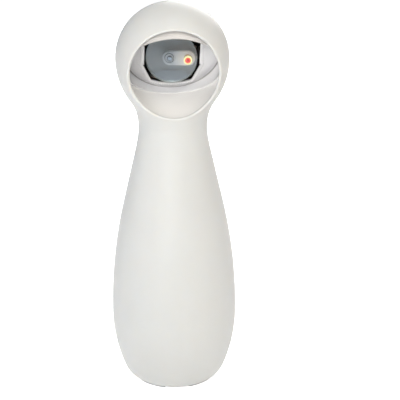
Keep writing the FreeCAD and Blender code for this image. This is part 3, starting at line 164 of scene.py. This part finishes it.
# %% Helpers that measure on a piece
def distance_from(tree, point):
    """How far a spot on the piece is from a point, in metres."""
    spot = add(tree, "TexCoord", out="Object")
    return add(tree, "VectorMath", {0: spot, 1: point}, out="Value", operation="DISTANCE")


def along(tree, axis):
    """How far a spot on the piece lies along a direction, in metres."""
    spot = add(tree, "TexCoord", out="Object")
    return add(tree, "VectorMath", {0: spot, 1: axis}, out="Value", operation="DOT_PRODUCT")


def off_axis(tree, point, axis):
    """How far a spot on the piece is from a line through a point, in metres."""
    spot = add(tree, "TexCoord", out="Object")
    arm = add(tree, "VectorMath", {0: spot, 1: point}, operation="SUBTRACT")
    across = add(tree, "VectorMath", {0: arm, 1: axis}, operation="CROSS_PRODUCT")
    return add(tree, "VectorMath", {0: across}, out="Value", operation="LENGTH")


def band(tree, distance, start_mm, end_mm, edge_mm):
    """1 between two distances and 0 elsewhere, with soft edges of edge_mm inside them."""
    rise = add(tree, "MapRange", {0: distance, 1: start_mm * MM, 2: (start_mm + edge_mm) * MM})
    fall = add(tree, "MapRange", {0: distance, 1: (end_mm - edge_mm) * MM, 2: end_mm * MM,
                                  3: 1.0, 4: 0.0})
    return add(tree, "Math", {0: rise, 1: fall}, operation="MULTIPLY")


def middle_of(name):
    """The middle of a node's box."""
    low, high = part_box(name)
    return (Vector(low) + Vector(high)) / 2


print("middle of the laser's lens in mm:", [round(c / MM, 1) for c in middle_of("laser_lens")])

# %% [markdown]
# ## Floor
# The floor is a sheet of white paper. The camera sees its own diffuse light plus a glow that lifts
# it to pure white, so only the soft contact shadow stays visible. Metal and gloss see the same
# glow. Nothing else does, so the floor lights the toy no more than paper would.

# %% Floor
FLOOR_GLOW = 0.72
FLOOR_REACH = 3.0  # metres from the middle to the edge
paper, tree, shader = new_material("white_paper_floor", Base_Color=linear("F4F4F4"), Roughness=0.9)
fibre = mottle(tree, 0.6, detail=4.0)
wire(tree, shader, height=fibre, depth_mm=0.02)
seen = add(tree, "Math", {0: add(tree, "LightPath", out="Is Camera Ray"),
                          1: add(tree, "LightPath", out="Is Glossy Ray")}, operation="MAXIMUM")
glow = add(tree, "Emission", {"Color": "FFFFFF", "Strength": FLOOR_GLOW})
lifted = add(tree, "AddShader", {0: shader.outputs[0], 1: glow})
mixed = add(tree, "MixShader", {0: seen, 1: shader.outputs[0], 2: lifted})
tree.links.new(mixed, tree.nodes["Material Output"].inputs["Surface"])

sheet = bmesh.new()
bmesh.ops.create_grid(sheet, x_segments=1, y_segments=1, size=FLOOR_REACH)
floor_mesh = bpy.data.meshes.new("floor")
sheet.to_mesh(floor_mesh)
sheet.free()
floor = bpy.data.objects.new("floor", floor_mesh)
bpy.context.collection.objects.link(floor)
floor_mesh.materials.append(paper)
print("floor", floor.dimensions.x, "m wide")

# %% [markdown]
# ## Sky
# The camera looks past the toy, or through clear glass, into pure white. Everything else gets a sky
# of about half that strength, warm near the floor and a touch cooler overhead. It fills the shadows
# and is what the mirror and the gloss pick up where no lamp is.

# %% Sky
SKY_STRENGTH = 0.46
world = bpy.data.worlds.new("studio")
bpy.context.scene.world = world
world.use_nodes = True
tree = world.node_tree
tree.nodes.clear()
toward = add(tree, "TexCoord", out="Generated")
upward = add(tree, "SeparateXYZ", {0: toward}, out="Z")
overhead = add(tree, "MapRange", {0: upward, 1: 0.25, 2: 0.7}, interpolation_type="SMOOTHSTEP")
tint = add(tree, "Mix", {0: overhead, 6: "DEDDDC", 7: "E2E5E8"}, **COLOURS)
room = add(tree, "Background", {"Color": tint, "Strength": SKY_STRENGTH})
white = add(tree, "Background", {"Color": "FFFFFF", "Strength": 1.0})
seen = add(tree, "Math", {0: add(tree, "LightPath", out="Is Camera Ray"),
                          1: add(tree, "LightPath", out="Is Transmission Ray")},
           operation="MAXIMUM")
mixed = add(tree, "MixShader", {0: seen, 1: room, 2: white})
add(tree, "OutputWorld", {"Surface": mixed})
print("sky of", len(tree.nodes), "nodes")

# %% [markdown]
# ## Lamps
# Soft, broad lamps suit a smooth pale thing, because each one draws a wide highlight. Two of them
# work at the front. The lamp beside the lens shines straight into the head, and the one high in
# front reaches the bowl and the crown. Without them the bowl and the mirror would sit in a black
# hole. A weak key on the left and a lamp at either side keep the edges of the housing pale, a touch
# cool on the left and a touch warm on the right. A lamp behind keeps the back from going grey.

# %% Lamps
LAMPS = [
    # name, place, looks at, side in metres, watts, colour
    ("key", (-0.62, -0.85, 0.62), (0, 0, 0.12), 0.6, 0.4, "F8FAFF"),
    ("lens", (-0.26, -0.93, 0.46), (0, 0, 0.19), 0.4, 4.8, "FFFDF9"),
    ("top", (0.24, -0.62, 0.98), (0, 0, 0.16), 0.5, 6.6, "FFFAF0"),
    ("left", (-0.95, -0.20, 0.35), (0, 0, 0.10), 0.5, 2.0, "F2F6FF"),
    ("right", (0.95, -0.20, 0.35), (0, 0, 0.12), 0.5, 0.6, "FFE0C8"),
    ("back", (0.30, 1.00, 0.60), (0, 0, 0.12), 0.6, 7.6, "FFFFFF"),
]
for name, place, target, side, watts, colour in LAMPS:
    data = bpy.data.lights.new(name, "AREA")
    data.size = side
    data.energy = watts
    data.color = linear(colour)[:3]
    item = bpy.data.objects.new(name, data)
    bpy.context.collection.objects.link(item)
    item.location = place
    item.rotation_euler = (Vector(target) - Vector(place)).to_track_quat("-Z", "Y").to_euler()
    print(name, "lamp,", watts, "W")
bpy.context.scene.view_settings.view_transform = "Standard"


# %% [markdown]
# ## White moulded plastic
# The housing is injection-moulded ABS. A polished mould leaves it smooth, but the cooling skin is
# never quite flat: a faint orange peel about a millimetre across softens every highlight. Light
# enters the surface a little, which takes the hardness out of the shadows. Every moulded piece of
# the toy starts from the same recipe with its own colour, gloss and grain.

# %% Moulded plastic
CLOUD_MM = 14.0
CLOUD_SHARE = 0.10
GLOSS_SPREAD = 0.12


def moulded(name, colour, roughness, grain_mm=1.1, depth_mm=0.006, shade="BBBAB7", **inputs):
    """Moulded plastic: cloudy by a percent or two, with an orange peel and uneven gloss."""
    material, tree, shader = new_material(name, Roughness=roughness, IOR=1.53, **inputs)
    cloud = mottle(tree, CLOUD_MM)
    grain = mottle(tree, grain_mm, detail=3.0)
    share = add(tree, "MapRange", {0: cloud, 1: 0.35, 2: 0.75, 3: 0.0, 4: CLOUD_SHARE})
    tint = add(tree, "Mix", {0: share, 6: colour, 7: shade}, **COLOURS)
    gloss = add(tree, "MapRange", {0: grain, 3: roughness * (1 - GLOSS_SPREAD),
                                   4: roughness * (1 + GLOSS_SPREAD)})
    wire(tree, shader, tint, gloss, grain, depth_mm)
    return material, tree, shader, tint


# the battery door gives the eye the plain white of the housing, a little glossier
door_abs, tree, shader, tint = moulded("white_abs_of_the_door", "C4C5C4", 0.36)
dress(door_abs, "battery_door")

# %% [markdown]
# The two half shells meet in a hair-thin parting line down both sides. It lies in the plane where
# the distance to the front and back is zero, so the line is drawn there. Deep in the head, behind
# the mirror, the inside of the shell is painted near black as shade, so the motor sits in the dark
# like the black pieces round it.

# %% Housing
HEAD_AT = Vector((0, 0, 0.19625))
FORWARD_BACK = (0, 1, 0)
# gives the eye a clean semi-gloss white whose highlights are wide and slightly broken
shell_abs, tree, shader, tint = moulded("white_abs_from_a_polished_mould_painted_shade_inside", "C4C5C4", 0.52,
                                        Subsurface_Weight=0.4, Subsurface_Scale=0.005,
                                        Subsurface_Radius=(1.0, 0.8, 0.6))
beside = add(tree, "Math", {0: along(tree, FORWARD_BACK)}, operation="ABSOLUTE")
seam = add(tree, "MapRange", {0: beside, 1: 0.04 * MM, 2: 0.16 * MM, 3: 0.55, 4: 0.0})
lined = add(tree, "Mix", {0: seam, 6: tint, 7: "77736D"}, **COLOURS)
# painted shade: the shell's inside behind the mirror is painted near black
inside = add(tree, "MapRange", {0: distance_from(tree, HEAD_AT), 1: 31.2 * MM, 2: 31.6 * MM,
                                3: 1.0, 4: 0.0})
behind = add(tree, "MapRange", {0: along(tree, FORWARD_BACK), 1: 8 * MM, 2: 10 * MM})
painted_black_shade = add(tree, "Math", {0: inside, 1: behind}, operation="MULTIPLY")
wire(tree, shader, colour=add(tree, "Mix", {0: painted_black_shade, 6: lined, 7: "161617"}, **COLOURS))
dress(shell_abs, "front_shell", "rear_shell")

# %% [markdown]
# ## The pieces inside the opening
# The bowl, the ring and the plate come from mirror-bright moulds and are glossier than the housing.
# Their white is painted nearly pure, brighter than the housing's, as painted light that lifts the
# shade where light only bounces between them. The bowl is the warmest of them, and the ring the
# brightest.

# %% Polished inner plastics
# gives the eye a warm white hollow with a broad, soft gleam
# painted light: a nearly pure white, brighter than the housing's, lifts the shade in the hollow
bowl_abs, tree, shader, tint = moulded("white_abs_polished_bowl", "F7F6F5", 0.2, depth_mm=0.003,
                                       shade="ECE6E1", Coat_Weight=0.3, Coat_Roughness=0.08)
dress(bowl_abs, "inner_bowl")
# gives the eye a bright line that glints along its edges
ring_abs, tree, shader, tint = moulded("white_abs_high_gloss_ring", "FBFBFD", 0.12,
                                       depth_mm=0.002, shade="F2F3F6", Coat_Weight=0.5,
                                       Coat_Roughness=0.04)
dress(ring_abs, "bezel_ring", "mirror_bezel")
# the visor is the housing's plastic, a little duller, and darker as painted shade from the rim
# above it
visor_abs_painted_shade, tree, shader, tint = moulded("white_abs_visor_painted_shade", "BDBAB8", 0.45, shade="B2AFAC")
print(visor_abs_painted_shade.name, "waits for its piece")

# %% [markdown]
# The plate leans back under the ring and carries the mirror in a window. It ends in a narrow joint,
# where a dark line round the plate's axis is partly dust and partly painted shade. Behind its face
# the walls of the window are painted black as shade.

# %% Plate plastic
LEAN = math.radians(34.35)
plate_axis = Matrix.Rotation(LEAN, 3, "X") @ Vector(FORWARD_BACK)
# gives the eye a cool, glossy white between a dark line and a black hole
# painted light: a white brighter than the housing's lifts the shade in the opening
plate_abs, tree, shader, tint = moulded("white_abs_high_gloss_plate_painted_shade", "F4F4F6", 0.14,
                                        depth_mm=0.002, shade="E9E8EB", Coat_Weight=0.4,
                                        Coat_Roughness=0.05)
outward = off_axis(tree, HEAD_AT, plate_axis)
# dust and painted shade: a dark line in the joint round the plate
joint_dust_and_painted_shade = band(tree, outward, 27.2, 28.2, 0.2)
lined = add(tree, "Mix", {0: joint_dust_and_painted_shade, 6: tint, 7: "9A9694"}, **COLOURS)
# painted shade: the walls of the window behind the plate's face are painted near black
face = HEAD_AT.dot(plate_axis)
deep = add(tree, "MapRange", {0: along(tree, plate_axis), 1: face + 3.40 * MM,
                              2: face + 3.55 * MM})
central = add(tree, "MapRange", {0: outward, 1: 25.0 * MM, 2: 25.4 * MM, 3: 1.0, 4: 0.0})
window_wall_painted_shade = add(tree, "Math", {0: deep, 1: central}, operation="MULTIPLY")
wire(tree, shader, colour=add(tree, "Mix", {0: window_wall_painted_shade, 6: lined, 7: "1E1E1D"}, **COLOURS))
print("the plate leans by", round(math.degrees(LEAN), 1), "degrees")

# %% [markdown]
# ## The clamp above the mirror
# A pale clamp holds the laser inside the top of the head. It can only be seen in the mirror, with
# the screw that fixes it. Two fine rings were turned into its mould round the screw, and the shade
# in their grooves is painted as two dark lines. The light of the laser on it is painted too, as a
# warm glow that fades away from the lens.

# %% Clamp
# half matt; the laser's light on it is a painted glow that fades softly away from the lens
clamp_abs, tree, shader, tint = moulded("pale_grey_abs_clamp_painted_glow_and_groove_shade", "ECEAE7", 0.42, grain_mm=0.5,
                                        depth_mm=0.01, shade="DEDBD8")
lens_at = middle_of("laser_lens")
barrel_axis = (middle_of("laser_barrel") - lens_at).normalized()
outward = off_axis(tree, middle_of("clamp_screw"), barrel_axis)
# painted shade: two dark lines stand for the shade in the grooves round the screw
groove = band(tree, outward, 2.45, 3.05, 0.15)
step = add(tree, "Math", {0: band(tree, outward, 3.5, 3.8, 0.1), 1: 0.5}, operation="MULTIPLY")
ring_grooves_painted_shade = add(tree, "Math", {0: groove, 1: step}, operation="MAXIMUM")
wire(tree, shader, colour=add(tree, "Mix", {0: ring_grooves_painted_shade, 6: tint, 7: "5C605E"}, **COLOURS))
# painted light: the clamp glows warm near the lens, though it is no lamp
painted_glow_spread = add(tree, "MapRange", {0: distance_from(tree, lens_at), 1: 3 * MM, 2: 11 * MM,
                               3: 0.58, 4: 0.05}, interpolation_type="SMOOTHSTEP")
shader.inputs["Emission Color"].default_value = linear("F4CFAE")
tree.links.new(painted_glow_spread, shader.inputs["Emission Strength"])
dress(clamp_abs, "laser_clamp")

# %% [markdown]
# ## Dark, grey and milky plastics
# What should vanish behind the mirror is black. A thumb has to find the button on the back without
# looking, so its grey top is slightly rough. Gears are natural acetal and the motor ends in a nylon
# bell: both are milky and waxy rather than shiny. The feet are soft rubber, so the toy stays put.

# %% Other plastics and rubber
# black parts drink the light, so the mirror seems to float
black_abs, tree, shader, tint = moulded("black_abs_fine_spark_eroded", "17171A", 0.5,
                                        grain_mm=0.25, depth_mm=0.012, shade="242428")
dress(black_abs, "mirror_holder", "cradle", "battery_case", "tact_switch", "switch_plunger")
# gives the eye a grey spot with a dry, broken gleam
button_abs, tree, shader, tint = moulded("grey_abs_button", "74777B", 0.46, grain_mm=0.35,
                                         depth_mm=0.015, shade="63666A")
dress(button_abs, "power_button")
# waxy, and lets a little light in
acetal, tree, shader, tint = moulded("natural_acetal_homopolymer", "E3E1DA", 0.38,
                                     shade="D2CFC4", Subsurface_Weight=0.25,
                                     Subsurface_Scale=0.0015)
dress(acetal, "gear_case", "gear_cover", "hub_gear", "motor_worm")
# yellower and duller than the acetal next to it
nylon, tree, shader, tint = moulded("nylon_end_bell", "D8D2C0", 0.45, shade="C4BCA6")
dress(nylon, "motor_cap")
# soft, dusty and finely pitted, and never shines
rubber, tree, shader, tint = moulded("grey_silicone_rubber_foot", "9A9B9C", 0.8, grain_mm=0.4,
                                     depth_mm=0.05, shade="87888A")
dress(rubber, "foot_pad_1", "foot_pad_2", "foot_pad_3", "foot_pad_4")

# %% [markdown]
# ## The mirror
# The silver lies on the front of the glass. It reflects cleanly, but shows faint wipe marks, and
# its ground edge is a thin, grey and rougher ring. A film of dust scatters a little light, so the
# metal is not quite pure, and the tint is a touch blue.

# %% Silvered glass
MIRROR_AT = (0.0, 0.009, 0.1953)
# gives the eye a clear picture of the clamp and the lens under a thin bluish veil
silver, tree, shader = new_material("front_silvered_glass", Metallic=0.82)
ground = add(tree, "MapRange", {0: distance_from(tree, MIRROR_AT), 1: 14.82 * MM, 2: 14.92 * MM})
wiped = mottle(tree, 5.0, detail=4.0, stretch=(1, 1, 0.35))
haze = add(tree, "MapRange", {0: wiped, 1: 0.45, 2: 0.75, 3: 0.015, 4: 0.05})
rough_edge = add(tree, "Math", {0: ground, 1: 0.35}, operation="MULTIPLY")
gloss = add(tree, "Math", {0: haze, 1: rough_edge}, operation="MAXIMUM")
tint = add(tree, "Mix", {0: ground, 6: "D3E2F0", 7: "98A2A4"}, **COLOURS)
wire(tree, shader, tint, gloss)
dress(silver, "mirror_disc")

# %% [markdown]
# ## The laser
# A turned brass barrel holds a small red lens. The light of the lens spilling over the lip of the
# barrel is painted on as a glow, orange close to it and pale yellow round that.

# %% Brass barrel
mouth = lens_at - barrel_axis * 0.6 * MM
RING_RATE = 21000.0  # radians a metre along the barrel, which is one ring every 0.3 mm

# a lathe leaves fine rings round the barrel that split each highlight into threads
brass, tree, shader = new_material("turned_brass_painted_lip_glow", Metallic=1.0)
phase = add(tree, "Math", {0: along(tree, barrel_axis), 1: RING_RATE}, operation="MULTIPLY")
turns = add(tree, "Math", {0: phase}, operation="SINE")
tarnish = mottle(tree, 2.5, detail=3.0)
share = add(tree, "MapRange", {0: tarnish, 1: 0.4, 2: 0.8, 3: 0.0, 4: 0.6})
tint = add(tree, "Mix", {0: share, 6: "E0BC6C", 7: "B58B43"}, **COLOURS)
wire(tree, shader, tint, add(tree, "MapRange", {0: tarnish, 3: 0.2, 4: 0.36}), turns, 0.003)
# painted light: the barrel's lip glows orange and pale yellow near the lens
painted_glow_spread = distance_from(tree, mouth)
painted_lip_glow = add(tree, "MapRange", {0: painted_glow_spread, 1: 2.3 * MM, 2: 3.4 * MM, 3: 1.4, 4: 0.0},
          interpolation_type="SMOOTHSTEP")
inside = add(tree, "MapRange", {0: painted_glow_spread, 1: 1.5 * MM, 2: 2.1 * MM, 3: 1.0, 4: 0.0},
             interpolation_type="SMOOTHSTEP")
tree.links.new(add(tree, "Mix", {0: inside, 6: "FAEBA4", 7: "F4501A"}, **COLOURS),
               shader.inputs["Emission Color"])
tree.links.new(painted_lip_glow, shader.inputs["Emission Strength"])
dress(brass, "laser_barrel")

# %% [markdown]
# The lit lens glows deep red in its middle. Its rim is orange and glows brighter, a painted
# reflection of the barrel round it. Its glow stays near full strength, not far above it, so the red
# doesn't bleach.

# %% Lit lens
# gives the eye the one saturated spot on the toy
lens, tree, shader = new_material("lit_red_lens_painted_rim_reflection", Base_Color=linear("B01018"), Roughness=0.08,
                                  IOR=1.52)
# painted reflection: the lens's rim is orange and brighter than its middle
core = add(tree, "MapRange", {0: distance_from(tree, mouth), 1: 0.2 * MM, 2: 1.6 * MM,
                              3: 1.0, 4: 0.0}, interpolation_type="SMOOTHSTEP")
tree.links.new(add(tree, "Mix", {0: core, 6: "F8480E", 7: "D00408"}, **COLOURS),
               shader.inputs["Emission Color"])
tree.links.new(add(tree, "MapRange", {0: core, 3: 1.5, 4: 1.15}),
               shader.inputs["Emission Strength"])
dress(lens, "laser_lens")


# %% [markdown]
# ## Metals
# Metal is told apart by how it was worked. Zinc plating is finely mottled and a little blue,
# rolled steel has straight brush lines, ground pins are clean, and nickel springs are warm. One
# recipe makes all four: its colour, gloss and relief follow one grain, and the grain's size and
# stretch do the rest.

# %% Screws, motor and contacts
def metal(name, colour, shade, roughness, grain_mm, stretch=(1, 1, 1), depth_mm=0.003):
    """A metal with a worked surface."""
    material, tree, shader = new_material(name, Metallic=1.0)
    grain = mottle(tree, grain_mm, detail=4.0, stretch=stretch)
    share = add(tree, "MapRange", {0: grain, 1: 0.35, 2: 0.7})
    tint = add(tree, "Mix", {0: share, 6: colour, 7: shade}, **COLOURS)
    gloss = add(tree, "MapRange", {0: grain, 3: roughness * 0.8, 4: roughness * 1.3})
    wire(tree, shader, tint, gloss, grain, depth_mm)
    return material


# mottled, slightly blue plating that catches small sharp lights on the screw heads
zinc = metal("zinc_plated_steel", "C6C8CB", "A9ABB2", 0.26, 0.5)
dress(zinc, "shell_screw_left", "shell_screw_right", "shell_screw_neck", "bezel_screw_left",
      "bezel_screw_right", "clamp_screw", "board_screw_low", "board_screw_high",
      "cover_screw_left", "cover_screw_right")
# lines along the motor draw its highlight out into a streak
can = metal("drawn_and_plated_steel", "BDBDBE", "9C9C9E", 0.3, 0.35, stretch=(0.06, 1, 1))
dress(can, "motor_can")
# bright and even, so the pins read as precise
ground_steel = metal("ground_steel_pin", "D0D0D1", "BCBCBE", 0.16, 0.3, stretch=(4, 0.5, 0.5))
dress(ground_steel, "pivot_pin_left", "pivot_pin_right")
# warm and springy, with a soft sheen
nickel = metal("nickel_plated_spring_steel", "CFC8BB", "B4AB9B", 0.22, 0.8)
dress(nickel, "upper_contact_1", "upper_contact_2", "upper_contact_3", "door_contact_1",
      "door_contact_2")

# %% [markdown]
# ## The cells
# Four cells stand side by side in the base. Each wears a plain shrunk sleeve, dark with one pale
# band near its top, and its steel ends stay bare. All four share one height, so one material that
# reads the height fits them all.

# %% Cells
UP = (0, 0, 1)
low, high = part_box("aa_cell_1")
# gives the eye a satin sleeve with faint scuffs between two bright steel ends
sleeve, tree, shader = new_material("shrunk_sleeve_on_steel", IOR=1.5)
height = along(tree, UP)
pale = add(tree, "MapRange", {0: height, 1: high[2] - 13.8 * MM, 2: high[2] - 13.5 * MM})
top_end = add(tree, "MapRange", {0: height, 1: high[2] - 2.0 * MM, 2: high[2] - 1.8 * MM})
low_end = add(tree, "MapRange", {0: height, 1: low[2] + 0.6 * MM, 2: low[2] + 0.8 * MM,
                                 3: 1.0, 4: 0.0})
bare = add(tree, "Math", {0: top_end, 1: low_end}, operation="MAXIMUM")
wrap = add(tree, "Mix", {0: pale, 6: "3C4450", 7: "B9BDC2"}, **COLOURS)
tint = add(tree, "Mix", {0: bare, 6: wrap, 7: "C4C4C2"}, **COLOURS)
scuff = mottle(tree, 3.0, detail=4.0)
wire(tree, shader, tint, add(tree, "MapRange", {0: scuff, 3: 0.22, 4: 0.4}), scuff, 0.004)
tree.links.new(bare, shader.inputs["Metallic"])
dress(sleeve, "aa_cell_1", "aa_cell_2", "aa_cell_3", "aa_cell_4")

# %% [markdown]
# ## The board
# The board is fibreglass under green solder mask. Its copper tracks run up and down in groups, a
# twentieth of an inch apart, and show as a paler green, slightly raised. The lanes come from the
# distance across the board, and a coarse noise decides where a group of them starts and ends.

# %% Board
TRACK_SPACING = 1.27 * MM
# gives the eye a glossy green with lines just visible below it
mask, tree, shader = new_material("green_solder_mask_on_fibreglass", IOR=1.55)
lane = add(tree, "Math", {0: along(tree, (1, 0, 0)), 1: 1 / TRACK_SPACING}, operation="MULTIPLY")
lane = add(tree, "Math", {0: lane}, operation="FRACT")
track = add(tree, "MapRange", {0: lane, 1: 0.26, 2: 0.30, 3: 1.0, 4: 0.0})
patch = mottle(tree, 7.0, detail=0.0, stretch=(1, 1, 0.3))
group = add(tree, "MapRange", {0: patch, 1: 0.5, 2: 0.52})
copper = add(tree, "Math", {0: track, 1: group}, operation="MULTIPLY")
weave = mottle(tree, 0.5)
tint = add(tree, "Mix", {0: copper, 6: "175C33", 7: "3C8A4E"}, **COLOURS)
wire(tree, shader, tint, add(tree, "MapRange", {0: weave, 3: 0.24, 4: 0.34}), copper, 0.035)
dress(mask, "control_board")

# %% [markdown]
# The chip is moulded epoxy, as dull as the mould that it came from. The capacitor is an aluminium
# can in a dark sleeve. The sleeve leaves the top of the can free, where the brushed metal shows.

# %% Chip and capacitor
# gives the eye matt black with a grey cast
epoxy, tree, shader, tint = moulded("moulded_epoxy_package", "1B1B1C", 0.55, grain_mm=0.12,
                                    depth_mm=0.01, shade="2A2A2B")
dress(epoxy, "logic_chip")
# a dark sleeve, and a top face of bare, brushed aluminium that flashes in it
low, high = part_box("capacitor")
foil, tree, shader = new_material("sleeved_aluminium_can", IOR=1.5)
top = add(tree, "MapRange", {0: along(tree, FORWARD_BACK), 1: low[1] + 0.3 * MM,
                             2: low[1] + 0.5 * MM, 3: 1.0, 4: 0.0})
brushed = mottle(tree, 0.2, stretch=(0.1, 1, 1))
tint = add(tree, "Mix", {0: top, 6: "23283A", 7: "C9CACC"}, **COLOURS)
wire(tree, shader, tint, add(tree, "MapRange", {0: brushed, 3: 0.22, 4: 0.42}), brushed, 0.003)
tree.links.new(top, shader.inputs["Metallic"])
dress(foil, "capacitor")

# %% [markdown]
# ## The visor in the head
# Close behind the top of the opening hangs a thin curved visor that hides the laser from the eye.
# It follows the round wall of the head half a millimetre behind it and joins the wall along its
# top. Its cross-section is a flat strip with one small ridge. The strip grows taller towards its
# middle, between an arched lower edge and the round opening, so its section is worked out for one
# station after another from the left to the right.

# %% Section of the visor
WALL_RADIUS = 30.0 * MM
OPENING_AT = 0.1908
OPENING_RADIUS = 26.5 * MM
ARCH_TOP = 15.85 * MM
ARCH_RADIUS = 38 * MM
HALF_WIDTH = 18 * MM
STATIONS = 56
VISOR_CREASE = math.radians(35)  # sharper edges than this stay crisp


def strip_profile(reach):
    """The strip's section in mm: heights above its lower edge, and how far it stands forward."""
    return [(0.0, -1.2), (0.0, -0.2), (0.15, 0.0), (1.05, 0.0), (1.25, 0.3), (1.5, 0.3),
            (1.7, 0.0), (reach - 0.9, 0.0), (reach, 0.62), (reach, -1.2)]


def section_at(step):
    """The corners of the visor's section at one station, from the left to the right."""
    x = -HALF_WIDTH + 2 * HALF_WIDTH * step / STATIONS
    low = ARCH_TOP - ARCH_RADIUS + math.sqrt(ARCH_RADIUS ** 2 - x * x)
    high = OPENING_AT - HEAD_AT.z + math.sqrt(OPENING_RADIUS ** 2 - x * x)
    corners = []
    for rise, depth in strip_profile((high - low) / MM):
        z = low + rise * MM
        on_wall = Vector((x, -math.sqrt(WALL_RADIUS ** 2 - x * x - z * z), z))
        corners.append(HEAD_AT + on_wall * (1 + depth * MM / WALL_RADIUS))
    return corners


print("the section has", len(section_at(0)), "corners")
print("the visor is", round(2 * HALF_WIDTH / MM), "mm wide in", STATIONS, "steps")

# %% [markdown]
# No single spin gives this shape. The section starts as one face on the left and is extruded to the
# right in short steps. Each step moves the new face to its station and deletes the face it grew
# from, which would lie inside the strip. In the end the normals are turned outwards.

# %% Visor
sweep = bmesh.new()
face = sweep.faces.new([sweep.verts.new(corner) for corner in section_at(0)])
for step in range(1, STATIONS + 1):
    grown = bmesh.ops.extrude_face_region(sweep, geom=[face])["geom"]
    if step > 1:  # only the first face stays, as the left end
        bmesh.ops.delete(sweep, geom=[face], context="FACES_ONLY")
    face = next(item for item in grown if isinstance(item, bmesh.types.BMFace))
    for vert, corner in zip(face.verts, section_at(step)):
        vert.co = corner
bmesh.ops.recalc_face_normals(sweep, faces=sweep.faces)
visor_mesh = bpy.data.meshes.new("laser_visor")
sweep.to_mesh(visor_mesh)
sweep.free()
visor_mesh.shade_smooth()
visor_mesh.set_sharp_from_angle(angle=VISOR_CREASE)
visor = bpy.data.objects.new("laser_visor", visor_mesh)
bpy.context.collection.objects.link(visor)
visor_mesh.materials.append(visor_abs_painted_shade)
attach(visor, "housing")
print("visor of", len(visor_mesh.polygons), "faces")


# %% [markdown]
# ## The face plate and the ring
# The plate that carries the mirror is open above the mirror, so the laser shines down past its
# edge. The ring round it ends where the rim of the opening hides it. Both start as copies of their
# CAD pieces: the loose triangles are joined, and a block that leans with the plate is cut away. The
# block is a cube, scaled and moved while it is still upright and then turned with the plate.

# %% Block that cuts
def leaning_block(low, high):
    """A block between two corners, in millimetres from the head's middle, that leans by LEAN."""
    low, high = Vector(low) * MM, Vector(high) * MM
    upright = Matrix.Translation((low + high) / 2) @ Matrix.Diagonal((high - low).to_4d())
    leaning = Matrix.Translation(HEAD_AT) @ Matrix.Rotation(LEAN, 4, "X")
    block = bmesh.new()
    bmesh.ops.create_cube(block, size=1.0, matrix=leaning @ upright)
    mesh = bpy.data.meshes.new("block")
    block.to_mesh(mesh)
    block.free()
    item = bpy.data.objects.new("block", mesh)
    bpy.context.collection.objects.link(item)
    return item


print("the blocks turn about the head's middle,", round(HEAD_AT.z / MM, 2), "mm up")


# %% [markdown]
# A Boolean modifier cuts the block away. Its result is taken over as the new piece's own mesh, so
# no modifier stays live, and the finished piece stands for the CAD piece that it was copied from.

# %% Trimmed copies of two CAD pieces
CUT_CREASE = math.radians(30)


def trimmed(node, name, low, high, material):
    """A copy of a CAD piece without what lies in a leaning block, which then stands for it."""
    joined = bmesh.new()
    joined.from_mesh(nodes[node].data)
    bmesh.ops.remove_doubles(joined, verts=joined.verts, dist=0.001 * MM)
    mesh = bpy.data.meshes.new(name)
    joined.to_mesh(mesh)
    joined.free()
    piece = bpy.data.objects.new(name, mesh)
    bpy.context.collection.objects.link(piece)
    cut = piece.modifiers.new("cut", "BOOLEAN")
    cut.operation = "DIFFERENCE"
    cut.solver = "EXACT"
    cut.object = leaning_block(low, high)
    view = bpy.context.evaluated_depsgraph_get()
    piece.data = bpy.data.meshes.new_from_object(piece.evaluated_get(view))
    bpy.data.objects.remove(cut.object)
    piece.modifiers.clear()
    piece.data.materials.clear()
    piece.data.materials.append(material)
    piece.data.shade_smooth()
    piece.data.set_sharp_from_angle(angle=CUT_CREASE)
    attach(piece, "housing")
    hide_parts(node)
    print(name, "of", len(piece.data.polygons), "faces")


print("pieces to trim:", len(nodes["mirror_bezel"].data.polygons), "and",
      len(nodes["bezel_ring"].data.polygons), "faces")

# %% [markdown]
# The plate's block is as wide as the window and starts at the window's top, so it opens the window
# upwards. The ring's block reaches beyond the ring on every side and only keeps its lower part.

# %% Face plate and ring
WINDOW_HALF = 16
WINDOW_TOP = 7.2
RING_TOP = 6.4
PLATE_REACH = 15
BEYOND = 40  # further out than any part of the head, in millimetres as the other four
trimmed("mirror_bezel", "face_plate", (-WINDOW_HALF, -PLATE_REACH, WINDOW_TOP),
        (WINDOW_HALF, PLATE_REACH, BEYOND), plate_abs)
trimmed("bezel_ring", "glossy_ring", (-BEYOND, -BEYOND, RING_TOP),
        (BEYOND, BEYOND, BEYOND), ring_abs)
